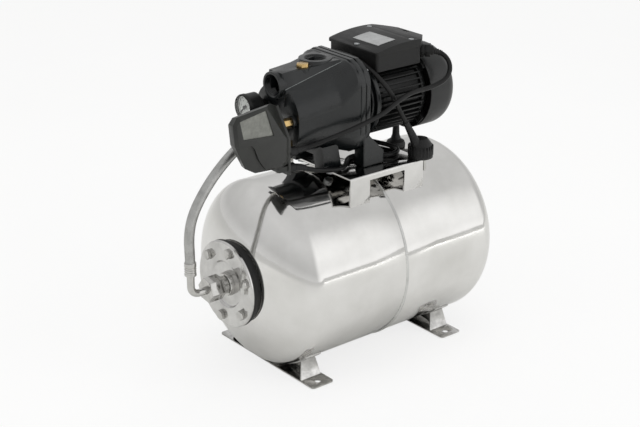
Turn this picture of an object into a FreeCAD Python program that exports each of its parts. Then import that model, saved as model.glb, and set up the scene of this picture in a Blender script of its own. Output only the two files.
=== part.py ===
import FreeCAD, Part
import math
import os

V = FreeCAD.Vector
os.makedirs("parts", exist_ok=True)

# Booster pump set: a self-priming jet pump on a small horizontal tank.
# Millimetres. X runs along the tank and motor axis, flange end at minus X, Z is up.
# Every place below is measured from the tank's middle seam. The finished solids are
# moved along X so that the origin is the centre of the four foot bolts, on the floor.
SEAM_X = 9.0

# Tank
TANK_R = 140.0
TANK_Z = 147.0
TANK_WALL = 1.2
CYL_FRONT = -155.0
CYL_REAR = 157.0
HEAD = 65.5
NECK_R = 45.0

# Feet: one pressed strip under each end of the tank
FOOT_FRONT = -138.0
FOOT_REAR = 120.0
FOOT_WIDE = 40.0
FOOT_HALF = 115.0
FOOT_HOLE_Y = 101.0
FOOT_HOLE_R = 4.5
SHEET = 2.0

# Pump bracket welded on the tank
BR_HALF_X = 70.5
BR_HALF_Y = 90.5
BR_TOP = 297.2
BR_T = 3.0
BR_LOW = 254.5
NOTCH_X = 33.5
NOTCH_TOP = 288.0

# Pump and motor axis
AX = 382.0
JOINT = -25.0
FLANGE_HALF = 68.0
FLANGE_Z = 387.0
PORT_R = 15.2
PORT_EDGE = 16.8
SUCTION_X = -141.0
SUCTION_Z = 428.0
DISCH_X = -62.6
DISCH_TOP = 455.5

# Motor
FRAME_A = 16.0
FRAME_B = 102.0
FRAME_BORE = 46.0
FRAME_CORE = 50.0
FIN_R = 57.8
COVER_R = 64.0
COVER_Z = 380.5
COVER_A = 108.0
COVER_B = 166.0
BEARING_R = 17.5
BEARING_BORE = 7.5
BEARING_W = 11.0
BEARING_1 = 5.0
BEARING_2 = 99.0
PAD_TOP = 439.0

# Terminal box
BOX = (7.0, 118.0, -54.0, 52.0)
BOX_CUT = 27.0
BOX_LOW = 432.0
BOX_TOP = 457.0

# Gauge and switch
GAUGE_Y = 24.0
GAUGE_Z = 396.0
GAUGE_FACE = -173.0
SWITCH_Y = -36.0
SWITCH_Z = 380.0

RUN = 0.03
SOFT = 0.3


def cyl_x(x0, x1, r, y=0.0, z=AX):
    return Part.makeCylinder(r, x1 - x0, V(x0, y, z), V(1, 0, 0))


def tube_x(x0, x1, r_in, r_out, y=0.0, z=AX):
    return cyl_x(x0, x1, r_out, y, z).cut(cyl_x(x0 - 1, x1 + 1, r_in, y, z))


def cyl_z(z0, z1, r, x, y):
    return Part.makeCylinder(r, z1 - z0, V(x, y, z0), V(0, 0, 1))


def cone_x(x0, x1, r0, r1, y=0.0, z=AX):
    return Part.makeCone(r0, r1, x1 - x0, V(x0, y, z), V(1, 0, 0))


def box(x0, x1, y0, y1, z0, z1):
    return Part.makeBox(x1 - x0, y1 - y0, z1 - z0, V(x0, y0, z0))


def revolve(points, y=0.0, z=AX):
    """A solid turned about the X line through (y, z) from (x, radius) corners."""
    corners = [V(x, y, z + r) for x, r in points]
    face = Part.Face(Part.makePolygon(corners + [corners[0]]))
    return face.revolve(V(0, y, z), V(1, 0, 0), 360)


def prism(corners, direction):
    face = Part.Face(Part.makePolygon(corners + [corners[0]]))
    return face.extrude(direction)


def hex_x(x0, x1, flats, y, z, turn=0.0):
    r = flats / math.sqrt(3)
    corners = []
    for i in range(6):
        a = math.radians(60 * i + turn)
        corners.append(V(x0, y + r * math.cos(a), z + r * math.sin(a)))
    return prism(corners, V(x1 - x0, 0, 0))


def hex_z(z0, z1, flats, x, y, turn=0.0):
    r = flats / math.sqrt(3)
    corners = []
    for i in range(6):
        a = math.radians(60 * i + turn)
        corners.append(V(x + r * math.cos(a), y + r * math.sin(a), z0))
    return prism(corners, V(0, 0, z1 - z0))


def ring_wire(x, z, half_y, half_z, r):
    """A rounded rectangle standing across X, centred on y = 0."""
    y0, y1 = -half_y, half_y
    z0, z1 = z - half_z, z + half_z
    s = r * (1 - math.sqrt(0.5))
    edges = [
        Part.LineSegment(V(x, y0 + r, z0), V(x, y1 - r, z0)).toShape(),
        Part.Arc(V(x, y1 - r, z0), V(x, y1 - s, z0 + s), V(x, y1, z0 + r)).toShape(),
        Part.LineSegment(V(x, y1, z0 + r), V(x, y1, z1 - r)).toShape(),
        Part.Arc(V(x, y1, z1 - r), V(x, y1 - s, z1 - s), V(x, y1 - r, z1)).toShape(),
        Part.LineSegment(V(x, y1 - r, z1), V(x, y0 + r, z1)).toShape(),
        Part.Arc(V(x, y0 + r, z1), V(x, y0 + s, z1 - s), V(x, y0, z1 - r)).toShape(),
        Part.LineSegment(V(x, y0, z1 - r), V(x, y0, z0 + r)).toShape(),
        Part.Arc(V(x, y0, z0 + r), V(x, y0 + s, z0 + s), V(x, y0 + r, z0)).toShape(),
    ]
    return Part.Wire(edges)


def bend_route(points, name):
    """Straight runs joined by arcs that touch them; prints the tightest arc."""
    points = [V(*p) for p in points]
    edges = []
    last = points[0]
    tight = None
    for i in range(1, len(points) - 1):
        into = points[i] - points[i - 1]
        out = points[i + 1] - points[i]
        a, b = into.Length, out.Length
        into = into.normalize()
        out = out.normalize()
        turn = into.getAngle(out)
        reach = 0.45 * min(a, b)
        radius = reach / math.tan(turn / 2)
        tight = radius if tight is None else min(tight, radius)
        p0 = points[i] - into * reach
        p1 = points[i] + out * reach
        middle = (p0 + p1) * 0.5
        toward = (middle - points[i]).normalize()
        depth = radius / math.cos(turn / 2) - radius
        edges.append(Part.LineSegment(last, p0).toShape())
        edges.append(Part.Arc(p0, points[i] + toward * depth, p1).toShape())
        last = p1
    edges.append(Part.LineSegment(last, points[-1]).toShape())
    wire = Part.Wire(edges)
    print(name, "length %.0f mm, tightest radius %.1f mm" % (wire.Length, tight))
    return wire


def cord(points, r, name):
    wire = bend_route(points, name)
    start = V(*points[0])
    way = (V(*points[1]) - start).normalize()
    ring = Part.Wire(Part.Circle(start, way, r).toShape())
    solid = wire.makePipeShell([ring], True, True)
    if solid.Volume < 0:
        solid.reverse()
    print(name, "volume against section x length %.4f"
          % (solid.Volume / (math.pi * r * r * wire.Length)))
    return solid


def head_radius(depth, head, radius):
    """Radius of a dished tank end at a given distance from its straight side."""
    t = min(1.0, max(0.0, depth / head))
    return radius * (1 - t ** 1.88) ** (1 / 1.88)


def head_depth(r, head, radius):
    return head * (1 - (r / radius) ** 1.88) ** (1 / 1.88)


def dish(side, x_side, head, radius, r_stop, steps=14):
    """Corners along a dished end from its straight side to the radius r_stop."""
    found = []
    for i in range(steps + 1):
        r = radius * math.cos(math.radians(90.0 * i / steps))
        if r <= r_stop:
            break
        found.append((x_side + side * head_depth(r, head, radius), r))
    found.append((x_side + side * head_depth(r_stop, head, radius), r_stop))
    return found


parts = {}


# Tank shells, with the opening for the bladder at the flange end
outer = dish(-1, CYL_FRONT, HEAD, TANK_R, NECK_R)
inner = dish(-1, CYL_FRONT, HEAD - TANK_WALL, TANK_R - TANK_WALL, NECK_R)
parts["tank_front_shell"] = revolve([(0, TANK_R)] + outer + inner[::-1]
                                    + [(0, TANK_R - TANK_WALL)], 0, TANK_Z)
VALVE_R = 6.0
outer_rear = dish(1, CYL_REAR, HEAD, TANK_R, VALVE_R)
inner_rear = dish(1, CYL_REAR, HEAD - TANK_WALL, TANK_R - TANK_WALL, VALVE_R)
parts["tank_rear_shell"] = revolve([(0, TANK_R)] + outer_rear + inner_rear[::-1]
                                   + [(0, TANK_R - TANK_WALL)], 0, TANK_Z)
full_tank = revolve([(0, 0), (0, TANK_R)] + outer + [(outer[-1][0], 0)], 0, TANK_Z)
full_rear = revolve([(0, 0), (0, TANK_R)] + dish(1, CYL_REAR, HEAD, TANK_R, 0.5)
                    + [(CYL_REAR + HEAD, 0)], 0, TANK_Z)

# Weld bead round the middle, notched where the bracket's own welds cross it
bead = revolve([(-2.2, TANK_R), (-1.4, TANK_R + 1.0), (0, TANK_R + 1.4),
                (1.4, TANK_R + 1.0), (2.2, TANK_R)], 0, TANK_Z)
parts["tank_seam_bead"] = bead

# Neck ring welded to the shell, then the bladder's lip and the pressed flange
RING_FACE = -222.0
FLANGE_BACK = -226.0
FLANGE_FACE = -228.0
RING_R = 62.0
BOLT_CIRCLE = 52.0
bolt_places = []
for i in range(6):
    a = 0.34 + i * math.pi / 3
    bolt_places.append((-BOLT_CIRCLE * math.cos(a), TANK_Z + BOLT_CIRCLE * math.sin(a)))
neck_ring = tube_x(RING_FACE, -205.0, NECK_R, RING_R, 0, TANK_Z).cut(full_tank)
for y, z in bolt_places:
    neck_ring = neck_ring.cut(cyl_x(-230, -200, 4.0, y, z))
parts["tank_neck_ring"] = neck_ring

lip = [(FLANGE_BACK + SOFT, 60.0), (RING_FACE - SOFT, 60.0), (RING_FACE - SOFT, 43.5),
       (-208.0, 43.5), (-200.0, 62.0), (-185.0, 88.0), (-160.0, 110.0), (-125.0, 122.0),
       (150.0, 122.0), (180.0, 108.0), (198.0, 82.0), (207.0, 45.0), (209.0, 1.0),
       (207.0, 1.0), (205.2, 44.5), (196.4, 80.8), (178.8, 106.2), (149.5, 120.0),
       (-124.6, 120.0), (-158.9, 108.2), (-183.4, 86.8), (-198.2, 61.1), (-206.4, 41.0),
       (FLANGE_BACK + SOFT, 41.0)]
bladder = revolve(lip, 0, TANK_Z)
bladder = bladder.fuse(cyl_x(206.9, 209.0, 1.2, 0, TANK_Z)).removeSplitter()
for y, z in bolt_places:
    bladder = bladder.cut(cyl_x(-230, -216, 4.6, y, z))
parts["bladder"] = bladder

flange = revolve([(-217.5, RING_R), (-217.5, 64.0), (-219.0, 65.0), (-226.6, 65.0),
                  (FLANGE_FACE, 63.6), (FLANGE_FACE, 36.0), (-224.0, 33.0), (-224.0, 13.2),
                  (-222.0, 13.2), (-222.0, 34.6), (FLANGE_BACK, 37.6),
                  (FLANGE_BACK, RING_R)], 0, TANK_Z)
for y, z in bolt_places:
    flange = flange.cut(cyl_x(-232, -220, 4.4, y, z))
parts["tank_flange"] = flange
parts["flange_nipple"] = revolve([(-220.0, 10.0), (-220.0, 13.2), (-224.0, 13.2), (-224.0, 18.0),
                                  (-230.0, 16.5), (-230.0, 13.2), (-246.0, 13.2),
                                  (-247.0, 12.2), (-247.0, 10.0)], 0, TANK_Z)
bolts = []
for y, z in bolt_places:
    head = hex_x(FLANGE_FACE - 5.3, FLANGE_FACE, 13.0, y, z, 15)
    bolts.append(head.fuse(cyl_x(FLANGE_FACE - 1, -216.2, 4.0, y, z)))
parts["flange_bolts"] = Part.makeCompound(bolts)

# Air valve at the other end with its black cap
END = CYL_REAR + HEAD
parts["air_valve"] = revolve([(END - 8, 2.0), (END - 8, VALVE_R), (END, VALVE_R),
                              (END, 11.0), (END + 3, 11.0), (END + 3, 4.0),
                              (END + 16, 4.0), (END + 16, 2.0)], 0, TANK_Z).cut(full_rear.cut(
                                  cyl_x(100, END + 1, VALVE_R, 0, TANK_Z)))
parts["valve_cap"] = revolve([(END + 3, 4.0), (END + 3, 9.5), (END + 4, 10.2), (END + 20, 9.6),
                              (END + 22, 8.0), (END + 22, 0.0), (END + 17, 0.0),
                              (END + 17, 4.0)], 0, TANK_Z)


def foot(x):
    """Flat strip with a saddle, two sloping ends and webs under the tank."""
    half = FOOT_WIDE / 2
    strip = box(x - half, x + half, -FOOT_HALF, FOOT_HALF, 0, SHEET)
    strip = strip.makeFillet(5.0, [e for e in strip.Edges
                                   if abs(e.Vertexes[0].X - e.Vertexes[1].X) < 0.1
                                   and abs(e.Vertexes[0].Y - e.Vertexes[1].Y) < 0.1])
    solids = strip
    outer_arc = cyl_x(x - 14, x + 14, TANK_R + SHEET, 0, TANK_Z)
    keep = box(x - 14, x + 14, -91, 91, 0, 70)
    saddle = outer_arc.common(keep).cut(cyl_x(x - 20, x + 20, TANK_R, 0, TANK_Z))
    solids = solids.fuse(saddle)
    for side in (-1, 1):
        leg = prism([V(x - 18.5, side * 86.0, SHEET - 0.5), V(x + 18.5, side * 86.0, SHEET - 0.5),
                     V(x + 11, side * 78.0, 36.0), V(x - 11, side * 78.0, 36.0)],
                    V(0, -side * 2.2, 0))
        solids = solids.fuse(leg)
        web = prism([V(x - 1, side * 84.5, SHEET - 0.5), V(x - 1, side * 77.0, 34.0),
                     V(x - 1, side * 62.0, 20.6), V(x - 1, side * 40.0, 11.2),
                     V(x - 1, side * 40.0, 8.0), V(x - 1, side * 60.0, 6.0),
                     V(x - 1, side * 72.0, SHEET - 0.5)], V(2, 0, 0))
        solids = solids.fuse(web)
    solids = solids.fuse(box(x - 14, x + 14, -22, 22, SHEET - 0.5, 8.0))
    solids = solids.cut(cyl_x(x - 30, x + 30, TANK_R, 0, TANK_Z))
    for side in (-1, 1):
        solids = solids.cut(cyl_z(-1, 4, FOOT_HOLE_R, x, side * FOOT_HOLE_Y))
    return solids.removeSplitter()


parts["front_foot"] = foot(FOOT_FRONT)
parts["rear_foot"] = foot(FOOT_REAR)

# Bracket: a folded plate with a wide notch in each side, cut to lie on the shell
bracket = box(-BR_HALF_X, BR_HALF_X, -BR_HALF_Y, BR_HALF_Y, BR_LOW - 1, BR_TOP)
long_edges = [e for e in bracket.Edges if abs(e.Vertexes[0].Z - BR_TOP) < 0.1
              and abs(e.Vertexes[1].Z - BR_TOP) < 0.1
              and abs(e.Vertexes[0].Y - e.Vertexes[1].Y) < 0.1]
bracket = bracket.makeFillet(3.0, long_edges)
bracket = bracket.cut(box(-90, 90, -BR_HALF_Y + BR_T, BR_HALF_Y - BR_T, 200, BR_TOP - BR_T))
bracket = bracket.cut(box(-NOTCH_X, NOTCH_X, -100, 100, 200, NOTCH_TOP))
bracket = bracket.cut(cyl_x(-90, 90, TANK_R, 0, TANK_Z))
bracket = bracket.cut(bead)
FOOT_BOLTS = [(-60.0, -33.0), (-60.0, 33.0), (-4.0, -54.0), (-4.0, 54.0)]
for x, y in FOOT_BOLTS:
    bracket = bracket.cut(cyl_z(280, 310, 4.0, x, y))
parts["pump_bracket"] = bracket
bolts = []
for x, y in FOOT_BOLTS:
    one = hex_z(BR_TOP - BR_T - 5.3, BR_TOP - BR_T, 13.0, x, y)
    bolts.append(one.fuse(cyl_z(BR_TOP - BR_T - 1, BR_TOP + 14, 4.0, x, y)))
parts["pump_bolts"] = Part.makeCompound(bolts)


# Pump casing: a barrel that widens to the squarish flange, with a ridge along the top
def barrel(sections):
    return Part.makeLoft([ring_wire(*s) for s in sections], True, True)


WALL = 5.0
casing = barrel([(-131, 378.5, 49.5, 49.5, 45.0), (-62, 383.0, 59.0, 59.0, 48.0)])
casing = casing.fuse(barrel([(-62, 383.0, 59.0, 59.0, 48.0),
                             (-38, FLANGE_Z, FLANGE_HALF, FLANGE_HALF, 36.0)]))
casing = casing.fuse(barrel([(-38, FLANGE_Z, FLANGE_HALF, FLANGE_HALF, 36.0),
                             (JOINT, FLANGE_Z, FLANGE_HALF, FLANGE_HALF, 36.0)]))
ridge_ends = []
for x, foot_y, foot_z, top in ((-134.0, 18.5, 424.0, 447.5), (-38.0, 25.0, 446.5, 455.0)):
    corners = [V(x, -foot_y, 400), V(x, -foot_y, foot_z), V(x, -14.5, top),
               V(x, 14.5, top), V(x, foot_y, foot_z), V(x, foot_y, 400)]
    ridge_ends.append(Part.makePolygon(corners + [corners[0]]))
casing = casing.fuse(Part.makeLoft(ridge_ends, True, True))
casing = casing.fuse(cyl_x(SUCTION_X, -100, 20.0, 0, SUCTION_Z))
casing = casing.fuse(Part.makeCone(30.0, 24.0, 22.0, V(DISCH_X, 0, DISCH_TOP - 22.0), V(0, 0, 1)))
casing = casing.fuse(cyl_z(400, DISCH_TOP - 22.0, 30.0, DISCH_X, 0))
HOSE_Z = 358.0
DRAIN_Z = 344.0
FIT_Y = -35.0
FIT_Z = 382.0
casing = casing.fuse(cyl_x(-137, -126, 13.0, 0, HOSE_Z))
casing = casing.fuse(cyl_x(-136, -126, 10.0, GAUGE_Y, GAUGE_Z))
casing = casing.fuse(cyl_x(-136, -126, 9.0, FIT_Y, FIT_Z))
leg = prism([V(-80, -44, BR_TOP), V(-84, -44, 335), V(-56, -44, 335), V(-48, -44, BR_TOP)],
            V(0, 88, 0))
leg = leg.cut(box(-100, -40, -22, 22, BR_TOP - 1, 319))
casing = casing.fuse(leg.cut(barrel([(-131, 378.5, 47.0, 47.0, 43.0), (-40, 384.5, 58.0, 58.0, 46.0)])))
for x, y in FOOT_BOLTS[:2]:
    casing = casing.cut(cyl_z(290, BR_TOP + 14, 4.0, x, y))
PLUG_X = -94.5
PLUG_Y = -11.0
PLUG_Z = 449.3
casing = casing.fuse(cyl_z(425, PLUG_Z, 11.0, PLUG_X, PLUG_Y))
casing = casing.cut(cyl_z(PLUG_Z, 470, 9.7, PLUG_X, PLUG_Y))
hollow = barrel([(-125, 378.5, 44.0, 44.0, 40.0), (-62, 383.0, 53.0, 53.0, 44.0)])
hollow = hollow.fuse(cyl_x(-63, JOINT + 1, 56.0))
hollow = hollow.fuse(box(-120, -52, -9, 9, 400, 440))
# each port is bored to the thread's depth, and a narrower throat goes on into the casing
THROAT_R = 13.2
hollow = hollow.fuse(cyl_x(SUCTION_X - 1, -124, PORT_R, 0, SUCTION_Z))
hollow = hollow.fuse(cyl_x(-125, -112, THROAT_R, 0, SUCTION_Z))
hollow = hollow.fuse(cyl_z(441, DISCH_TOP + 1, PORT_R, DISCH_X, 0))
hollow = hollow.fuse(cyl_z(420, 442, THROAT_R, DISCH_X, 0))
casing = casing.cut(hollow)
casing = casing.cut(cone_x(SUCTION_X - 0.01, SUCTION_X + 1.6, PORT_EDGE, PORT_R, 0, SUCTION_Z))
casing = casing.cut(Part.makeCone(PORT_R, PORT_EDGE, 1.6, V(DISCH_X, 0, DISCH_TOP - 1.6),
                                  V(0, 0, 1)))
casing = casing.cut(cyl_x(-140, -120, 7.0, 0, HOSE_Z))
casing = casing.cut(cyl_x(-140, -120, 5.0, GAUGE_Y, GAUGE_Z))
casing = casing.cut(cyl_x(-140, -120, 5.0, FIT_Y, FIT_Z))
casing = casing.cut(cyl_z(430, 460, 6.5, PLUG_X, PLUG_Y))
DRAIN_Y = -22.0
casing = casing.cut(cyl_x(-140, -120, 5.0, DRAIN_Y, DRAIN_Z))
CASE_BOLTS = [(48.0, FLANGE_Z + 48.0), (-48.0, FLANGE_Z + 48.0), (48.0, FLANGE_Z - 48.0),
              (-48.0, FLANGE_Z - 48.0)]
for y, z in CASE_BOLTS:
    casing = casing.cut(cyl_x(-45, -20, 4.0, y, z))
parts["pump_casing"] = casing.removeSplitter()

# Lantern between the pump and the motor, with its foot
lantern = barrel([(JOINT, FLANGE_Z, FLANGE_HALF, FLANGE_HALF, 36.0),
                  (-14, FLANGE_Z, FLANGE_HALF - 1, FLANGE_HALF - 1, 35.0)])
lantern = lantern.fuse(cyl_x(-29, -20, 56.0 - RUN))
lantern = lantern.fuse(cone_x(-14, 10, 55.0, 48.0))
lantern = lantern.fuse(cyl_x(8, FRAME_A, 57.0))
lantern = lantern.fuse(cyl_x(FRAME_A - 1, FRAME_A + 4, FRAME_BORE - RUN))
legs = prism([V(-24, -65, BR_TOP), V(-24, -65, 345), V(-14, -65, 345), V(15, -65, 316),
              V(15, -65, BR_TOP)], V(0, 130, 0))
legs = legs.cut(box(-30, 20, -44, 44, BR_TOP - 1, 322))
legs = legs.cut(cyl_x(-14, 20, 48.0))
for y, z in CASE_BOLTS[2:]:
    legs = legs.cut(cyl_x(-14, 20, 9.0, y, z))
for x, y in FOOT_BOLTS[2:]:
    legs = legs.cut(cyl_z(290, BR_TOP + 14, 4.0, x, y))
lantern = lantern.fuse(legs)
for side in (-1, 1):
    pocket = box(-9, 5, side * 50 - 14, side * 50 + 14, AX - 24, AX + 24)
    lantern = lantern.cut(pocket)
lantern = lantern.cut(cyl_x(-9, BEARING_1, 40.0).cut(cyl_x(-10, BEARING_1 + 1, 23.0)))
lantern = lantern.cut(cyl_x(-12, BEARING_1 - 1, 14.0))
lantern = lantern.cut(cyl_x(-30, -11, 9.5))
lantern = lantern.cut(cyl_x(-30, -17, 14.0))
lantern = lantern.cut(cyl_x(-12, BEARING_1 + BEARING_W + 10, 9.5))
lantern = lantern.cut(cyl_x(BEARING_1, FRAME_A + 6, BEARING_R))
lantern = lantern.cut(box(0, 25, -62, 62, PAD_TOP - 0.5, 470))
lantern = lantern.cut(tube_x(-28.3, -25.7, 52.8, 60.0))
for y, z in CASE_BOLTS:
    lantern = lantern.cut(cyl_x(-30, -10, 4.4, y, z))
parts["lantern"] = lantern.removeSplitter()
parts["casing_seal"] = Part.makeTorus(54.4, 1.25, V(-27, 0, AX), V(1, 0, 0))
bolts = []
for y, z in CASE_BOLTS:
    head = hex_x(-14, -8.7, 13.0, y, z, 15)
    bolts.append(head.fuse(cyl_x(-44, -13, 4.0, y, z)))
parts["casing_bolts"] = Part.makeCompound(bolts)

# Inside the pump: ejector, diffuser and impeller
parts["ejector"] = revolve([(-125, 15.0), (-125, 18.0), (-116, 18.0), (-112, 12.5), (-72, 15.0),
                            (-66, 20.0), (-60, 20.0), (-60, 15.0), (-68, 11.0), (-104, 6.5),
                            (-116, 11.0)])
diffuser = revolve([(-60, 15.0), (-60, 53.0), (-29, 53.0), (-29, 50.0), (-56, 50.0), (-56, 15.0)])
for i in range(8):
    vane = box(-44, -32, -1.0, 1.0, AX + 52, AX + 54.5)
    vane.rotate(V(0, 0, AX), V(1, 0, 0), 45 * i + 10)
    diffuser = diffuser.fuse(vane)
for i in range(8):
    slot = box(-52, -42, -4.0, 4.0, AX + 48, AX + 56)
    slot.rotate(V(0, 0, AX), V(1, 0, 0), 45 * i + 32)
    diffuser = diffuser.cut(slot)
parts["diffuser"] = diffuser
SHAFT_R = 6.0
impeller = revolve([(-54, SHAFT_R), (-54, 10.0), (-43, 12.0), (-41.6, 46.0), (-40, 46.0),
                    (-39, 12.0), (-34, 12.0), (-34, SHAFT_R)])
shroud = revolve([(-53, 15.0), (-54.5, 15.0), (-54.5, 18.0), (-51.6, 46.0), (-50.0, 46.0),
                  (-52.8, 18.0)])
impeller = impeller.fuse(shroud)
for i in range(6):
    corners = []
    for k in range(9):
        r = 15.0 + 31.0 * k / 8
        a = math.radians(60 * i + 62.0 * k / 8)
        corners.append((r, a))
    ring = []
    for r, a in corners:
        ring.append(V(-42.0, r * math.cos(a + 0.8 / r), AX + r * math.sin(a + 0.8 / r)))
    for r, a in reversed(corners):
        ring.append(V(-42.0, r * math.cos(a - 0.8 / r), AX + r * math.sin(a - 0.8 / r)))
    vane = prism(ring, V(-9.5, 0, 0))
    impeller = impeller.fuse(vane)
parts["impeller"] = impeller.removeSplitter()
parts["shaft_seal"] = revolve([(-33.5, 7.2), (-33.5, 12.5), (-26.5, 12.5), (-26.5, 10.5),
                               (-23.6, 10.5), (-23.6, 7.2)])
parts["seal_seat"] = revolve([(-23.4, 8.6), (-23.4, 13.7), (-17.3, 13.7), (-17.3, 8.6)])

# Shaft, rotor and bearings
parts["shaft"] = revolve([(-56, 0), (-56, SHAFT_R), (-34, SHAFT_R), (-34, 7.0), (3, 7.0),
                          (3, BEARING_BORE), (17, BEARING_BORE), (17, 10.0), (98, 10.0),
                          (98, BEARING_BORE), (111, BEARING_BORE), (111, SHAFT_R), (133, SHAFT_R),
                          (133, 0)])
parts["shaft"] = parts["shaft"].cut(box(116, 134, -10, 10, AX + 4.6, AX + 10))
rotor = tube_x(32, 84, 10.0, 27.4)
rotor = rotor.fuse(tube_x(26, 32, 19.0, 26.4)).fuse(tube_x(84, 90, 19.0, 26.4))
for i in range(8):
    tab = box(24, 26.5, -1.2, 1.2, AX + 19.5, AX + 26.0)
    tab.rotate(V(0, 0, AX), V(1, 0, 0), 45 * i)
    rotor = rotor.fuse(tab)
parts["rotor"] = rotor.removeSplitter()
both = []
for x in (BEARING_1, BEARING_2):
    ring = tube_x(x, x + BEARING_W, BEARING_BORE + RUN, BEARING_R)
    groove = Part.makeTorus(12.4, 2.2, V(x, 0, AX), V(1, 0, 0))
    ring = ring.cut(tube_x(x - 0.1, x + 0.8, 10.2, 14.8))
    ring = ring.cut(tube_x(x + BEARING_W - 0.8, x + BEARING_W + 0.1, 10.2, 14.8))
    both.append(ring)
parts["bearings"] = Part.makeCompound(both)

# Stator: iron pack with slots and the two winding heads
stator = tube_x(32, 84, 28.0, FRAME_BORE)
for i in range(12):
    slot = box(30, 86, -3.0, 3.0, AX + 31, AX + 39)
    slot.rotate(V(0, 0, AX), V(1, 0, 0), 30 * i)
    stator = stator.cut(slot)
for x0, x1 in ((22, 32), (84, 93)):
    coil = tube_x(x0, x1, 29.5, 41.0)
    edges = [e for e in coil.Edges if e.BoundBox.XLength < 0.01
             and abs(e.BoundBox.XMin - (x0 if x0 < 50 else x1)) < 0.01]
    stator = stator.fuse(coil.makeFillet(3.0, edges))
parts["stator"] = stator

# Finned motor frame with a pad for the terminal box
frame = tube_x(FRAME_A, FRAME_B, FRAME_BORE, FRAME_CORE)
for i in range(40):
    angle = 9 * i
    fin = box(FRAME_A + 3, FRAME_B - 3, -1.1, 1.1, AX + FRAME_CORE - 1.0, AX + FIN_R)
    fin.rotate(V(0, 0, AX), V(1, 0, 0), angle)
    frame = frame.fuse(fin)
pad = box(20, 90, -32, 32, AX + 30, PAD_TOP).cut(cyl_x(10, 105, FRAME_BORE + 1))
frame = frame.fuse(pad)
frame = frame.cut(box(0, 120, -49.5, 49.5, PAD_TOP, 480))
frame = frame.fuse(tube_x(FRAME_B - 5, FRAME_B, FRAME_BORE, 55.0)).removeSplitter()
parts["motor_frame"] = frame

rear = revolve([(FRAME_B - 4, 20.5), (FRAME_B - 4, FRAME_BORE - RUN), (FRAME_B, FRAME_BORE - RUN),
                (FRAME_B, 55.0), (FRAME_B + 5, 53.0), (FRAME_B + 9, 24.0), (FRAME_B + 9, 9.0),
                (FRAME_B + 8, 9.0), (FRAME_B + 8, BEARING_R), (BEARING_2 - 1.0, BEARING_R),
                (BEARING_2 - 1.0, 20.5)])
for i in range(4):
    lug = box(FRAME_B + 2, FRAME_B + 13, -7, 7, AX + 42, AX + 71.8)
    lug.rotate(V(0, 0, AX), V(1, 0, 0), 90 * i + 45)
    rear = rear.fuse(lug)
rear = rear.common(cyl_x(80, 130, COVER_R - 1.6, 0, COVER_Z))
parts["rear_shield"] = rear.removeSplitter()

fan = revolve([(116, SHAFT_R), (116, 11.0), (117, 12.0), (117, 56.0), (119, 56.0), (120, 13.0),
               (131, 11.0), (131, SHAFT_R)])
for i in range(9):
    blade = prism([V(118.5, -1.0, AX + 12), V(130, -1.0, AX + 12), V(140, -1.0, AX + 28),
                   V(140, -1.0, AX + 56), V(118.5, -1.0, AX + 56)], V(0, 2.0, 0))
    blade.rotate(V(0, 0, AX), V(1, 0, 0), 40 * i)
    fan = fan.fuse(blade)
parts["fan"] = fan.cut(cyl_x(100, 145, SHAFT_R)).removeSplitter()

cover = cyl_x(COVER_A, COVER_B, COVER_R, 0, COVER_Z)
rear_edge = [e for e in cover.Edges if e.BoundBox.XMin > COVER_B - 0.1
             and e.BoundBox.YLength > COVER_R]
cover = cover.makeFillet(24.0, rear_edge)
inside = cyl_x(COVER_A - 1, COVER_B - 1.6, COVER_R - 1.6, 0, COVER_Z)
inner_edge = [e for e in inside.Edges if e.BoundBox.XMin > COVER_B - 1.7
              and e.BoundBox.YLength > COVER_R]
cover = cover.cut(inside.makeFillet(22.5, inner_edge))
for i in range(24):
    slot = box(COVER_B - 4, COVER_B + 1, -1.6, 1.6, COVER_Z + 14, COVER_Z + 38)
    slot.rotate(V(0, 0, COVER_Z), V(1, 0, 0), 15 * i)
    cover = cover.cut(slot)
parts["fan_cover"] = cover

# Terminal box, its vaulted lid and what is inside
bx0, bx1, by0, by1 = BOX


def box_plan(z, grow=0.0):
    """Plan of the terminal box: a rectangle with both rear corners cut off."""
    a, b = bx0 - grow, bx1 + grow
    c, d = by0 - grow, by1 + grow
    k = BOX_CUT + 0.4 * grow
    return [V(a, c, z), V(b - k, c, z), V(b, c + k, z), V(b, d - k, z), V(b - k, d, z), V(a, d, z)]


tbox = prism(box_plan(BOX_LOW), V(0, 0, BOX_TOP - BOX_LOW))
upright = [e for e in tbox.Edges if abs(e.Vertexes[0].X - e.Vertexes[1].X) < 0.1
           and abs(e.Vertexes[0].Y - e.Vertexes[1].Y) < 0.1]
tbox = tbox.makeFillet(5.0, upright)
tbox = tbox.cut(prism(box_plan(PAD_TOP + 2.5, -2.5), V(0, 0, 30)).cut(
    cyl_x(100, 130, COVER_R + 3.6, 0, COVER_Z)))
tbox = tbox.cut(prism(box_plan(BOX_LOW - 1, -2.5), V(0, 0, PAD_TOP - BOX_LOW + 1)))
tbox = tbox.cut(cyl_x(0, 106, FIN_R + 1.0).common(box(0, 106, -60, 60, 400, PAD_TOP)))
tbox = tbox.cut(cyl_x(105, 130, COVER_R + 1.0, 0, COVER_Z))
BOX_SCREWS = [(13.0, -3.0, 463.0), (79.0, -47.5, 468.0), (79.0, 45.5, 468.0), (111.0, -1.0, 463.5)]
for x, y, top in BOX_SCREWS:
    tbox = tbox.fuse(cyl_z(PAD_TOP + 9, BOX_TOP, 4.0, x, y)
                     .common(prism(box_plan(400, -0.5), V(0, 0, 100))))
for x, y, top in BOX_SCREWS:
    tbox = tbox.cut(cyl_z(PAD_TOP + 10, BOX_TOP + 1, 2.0, x, y))
GLAND_P = V(bx1 - BOX_CUT / 2, by0 + BOX_CUT / 2, 446.5)
GLAND_WAY = V(1, -1, 0).normalize()


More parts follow.
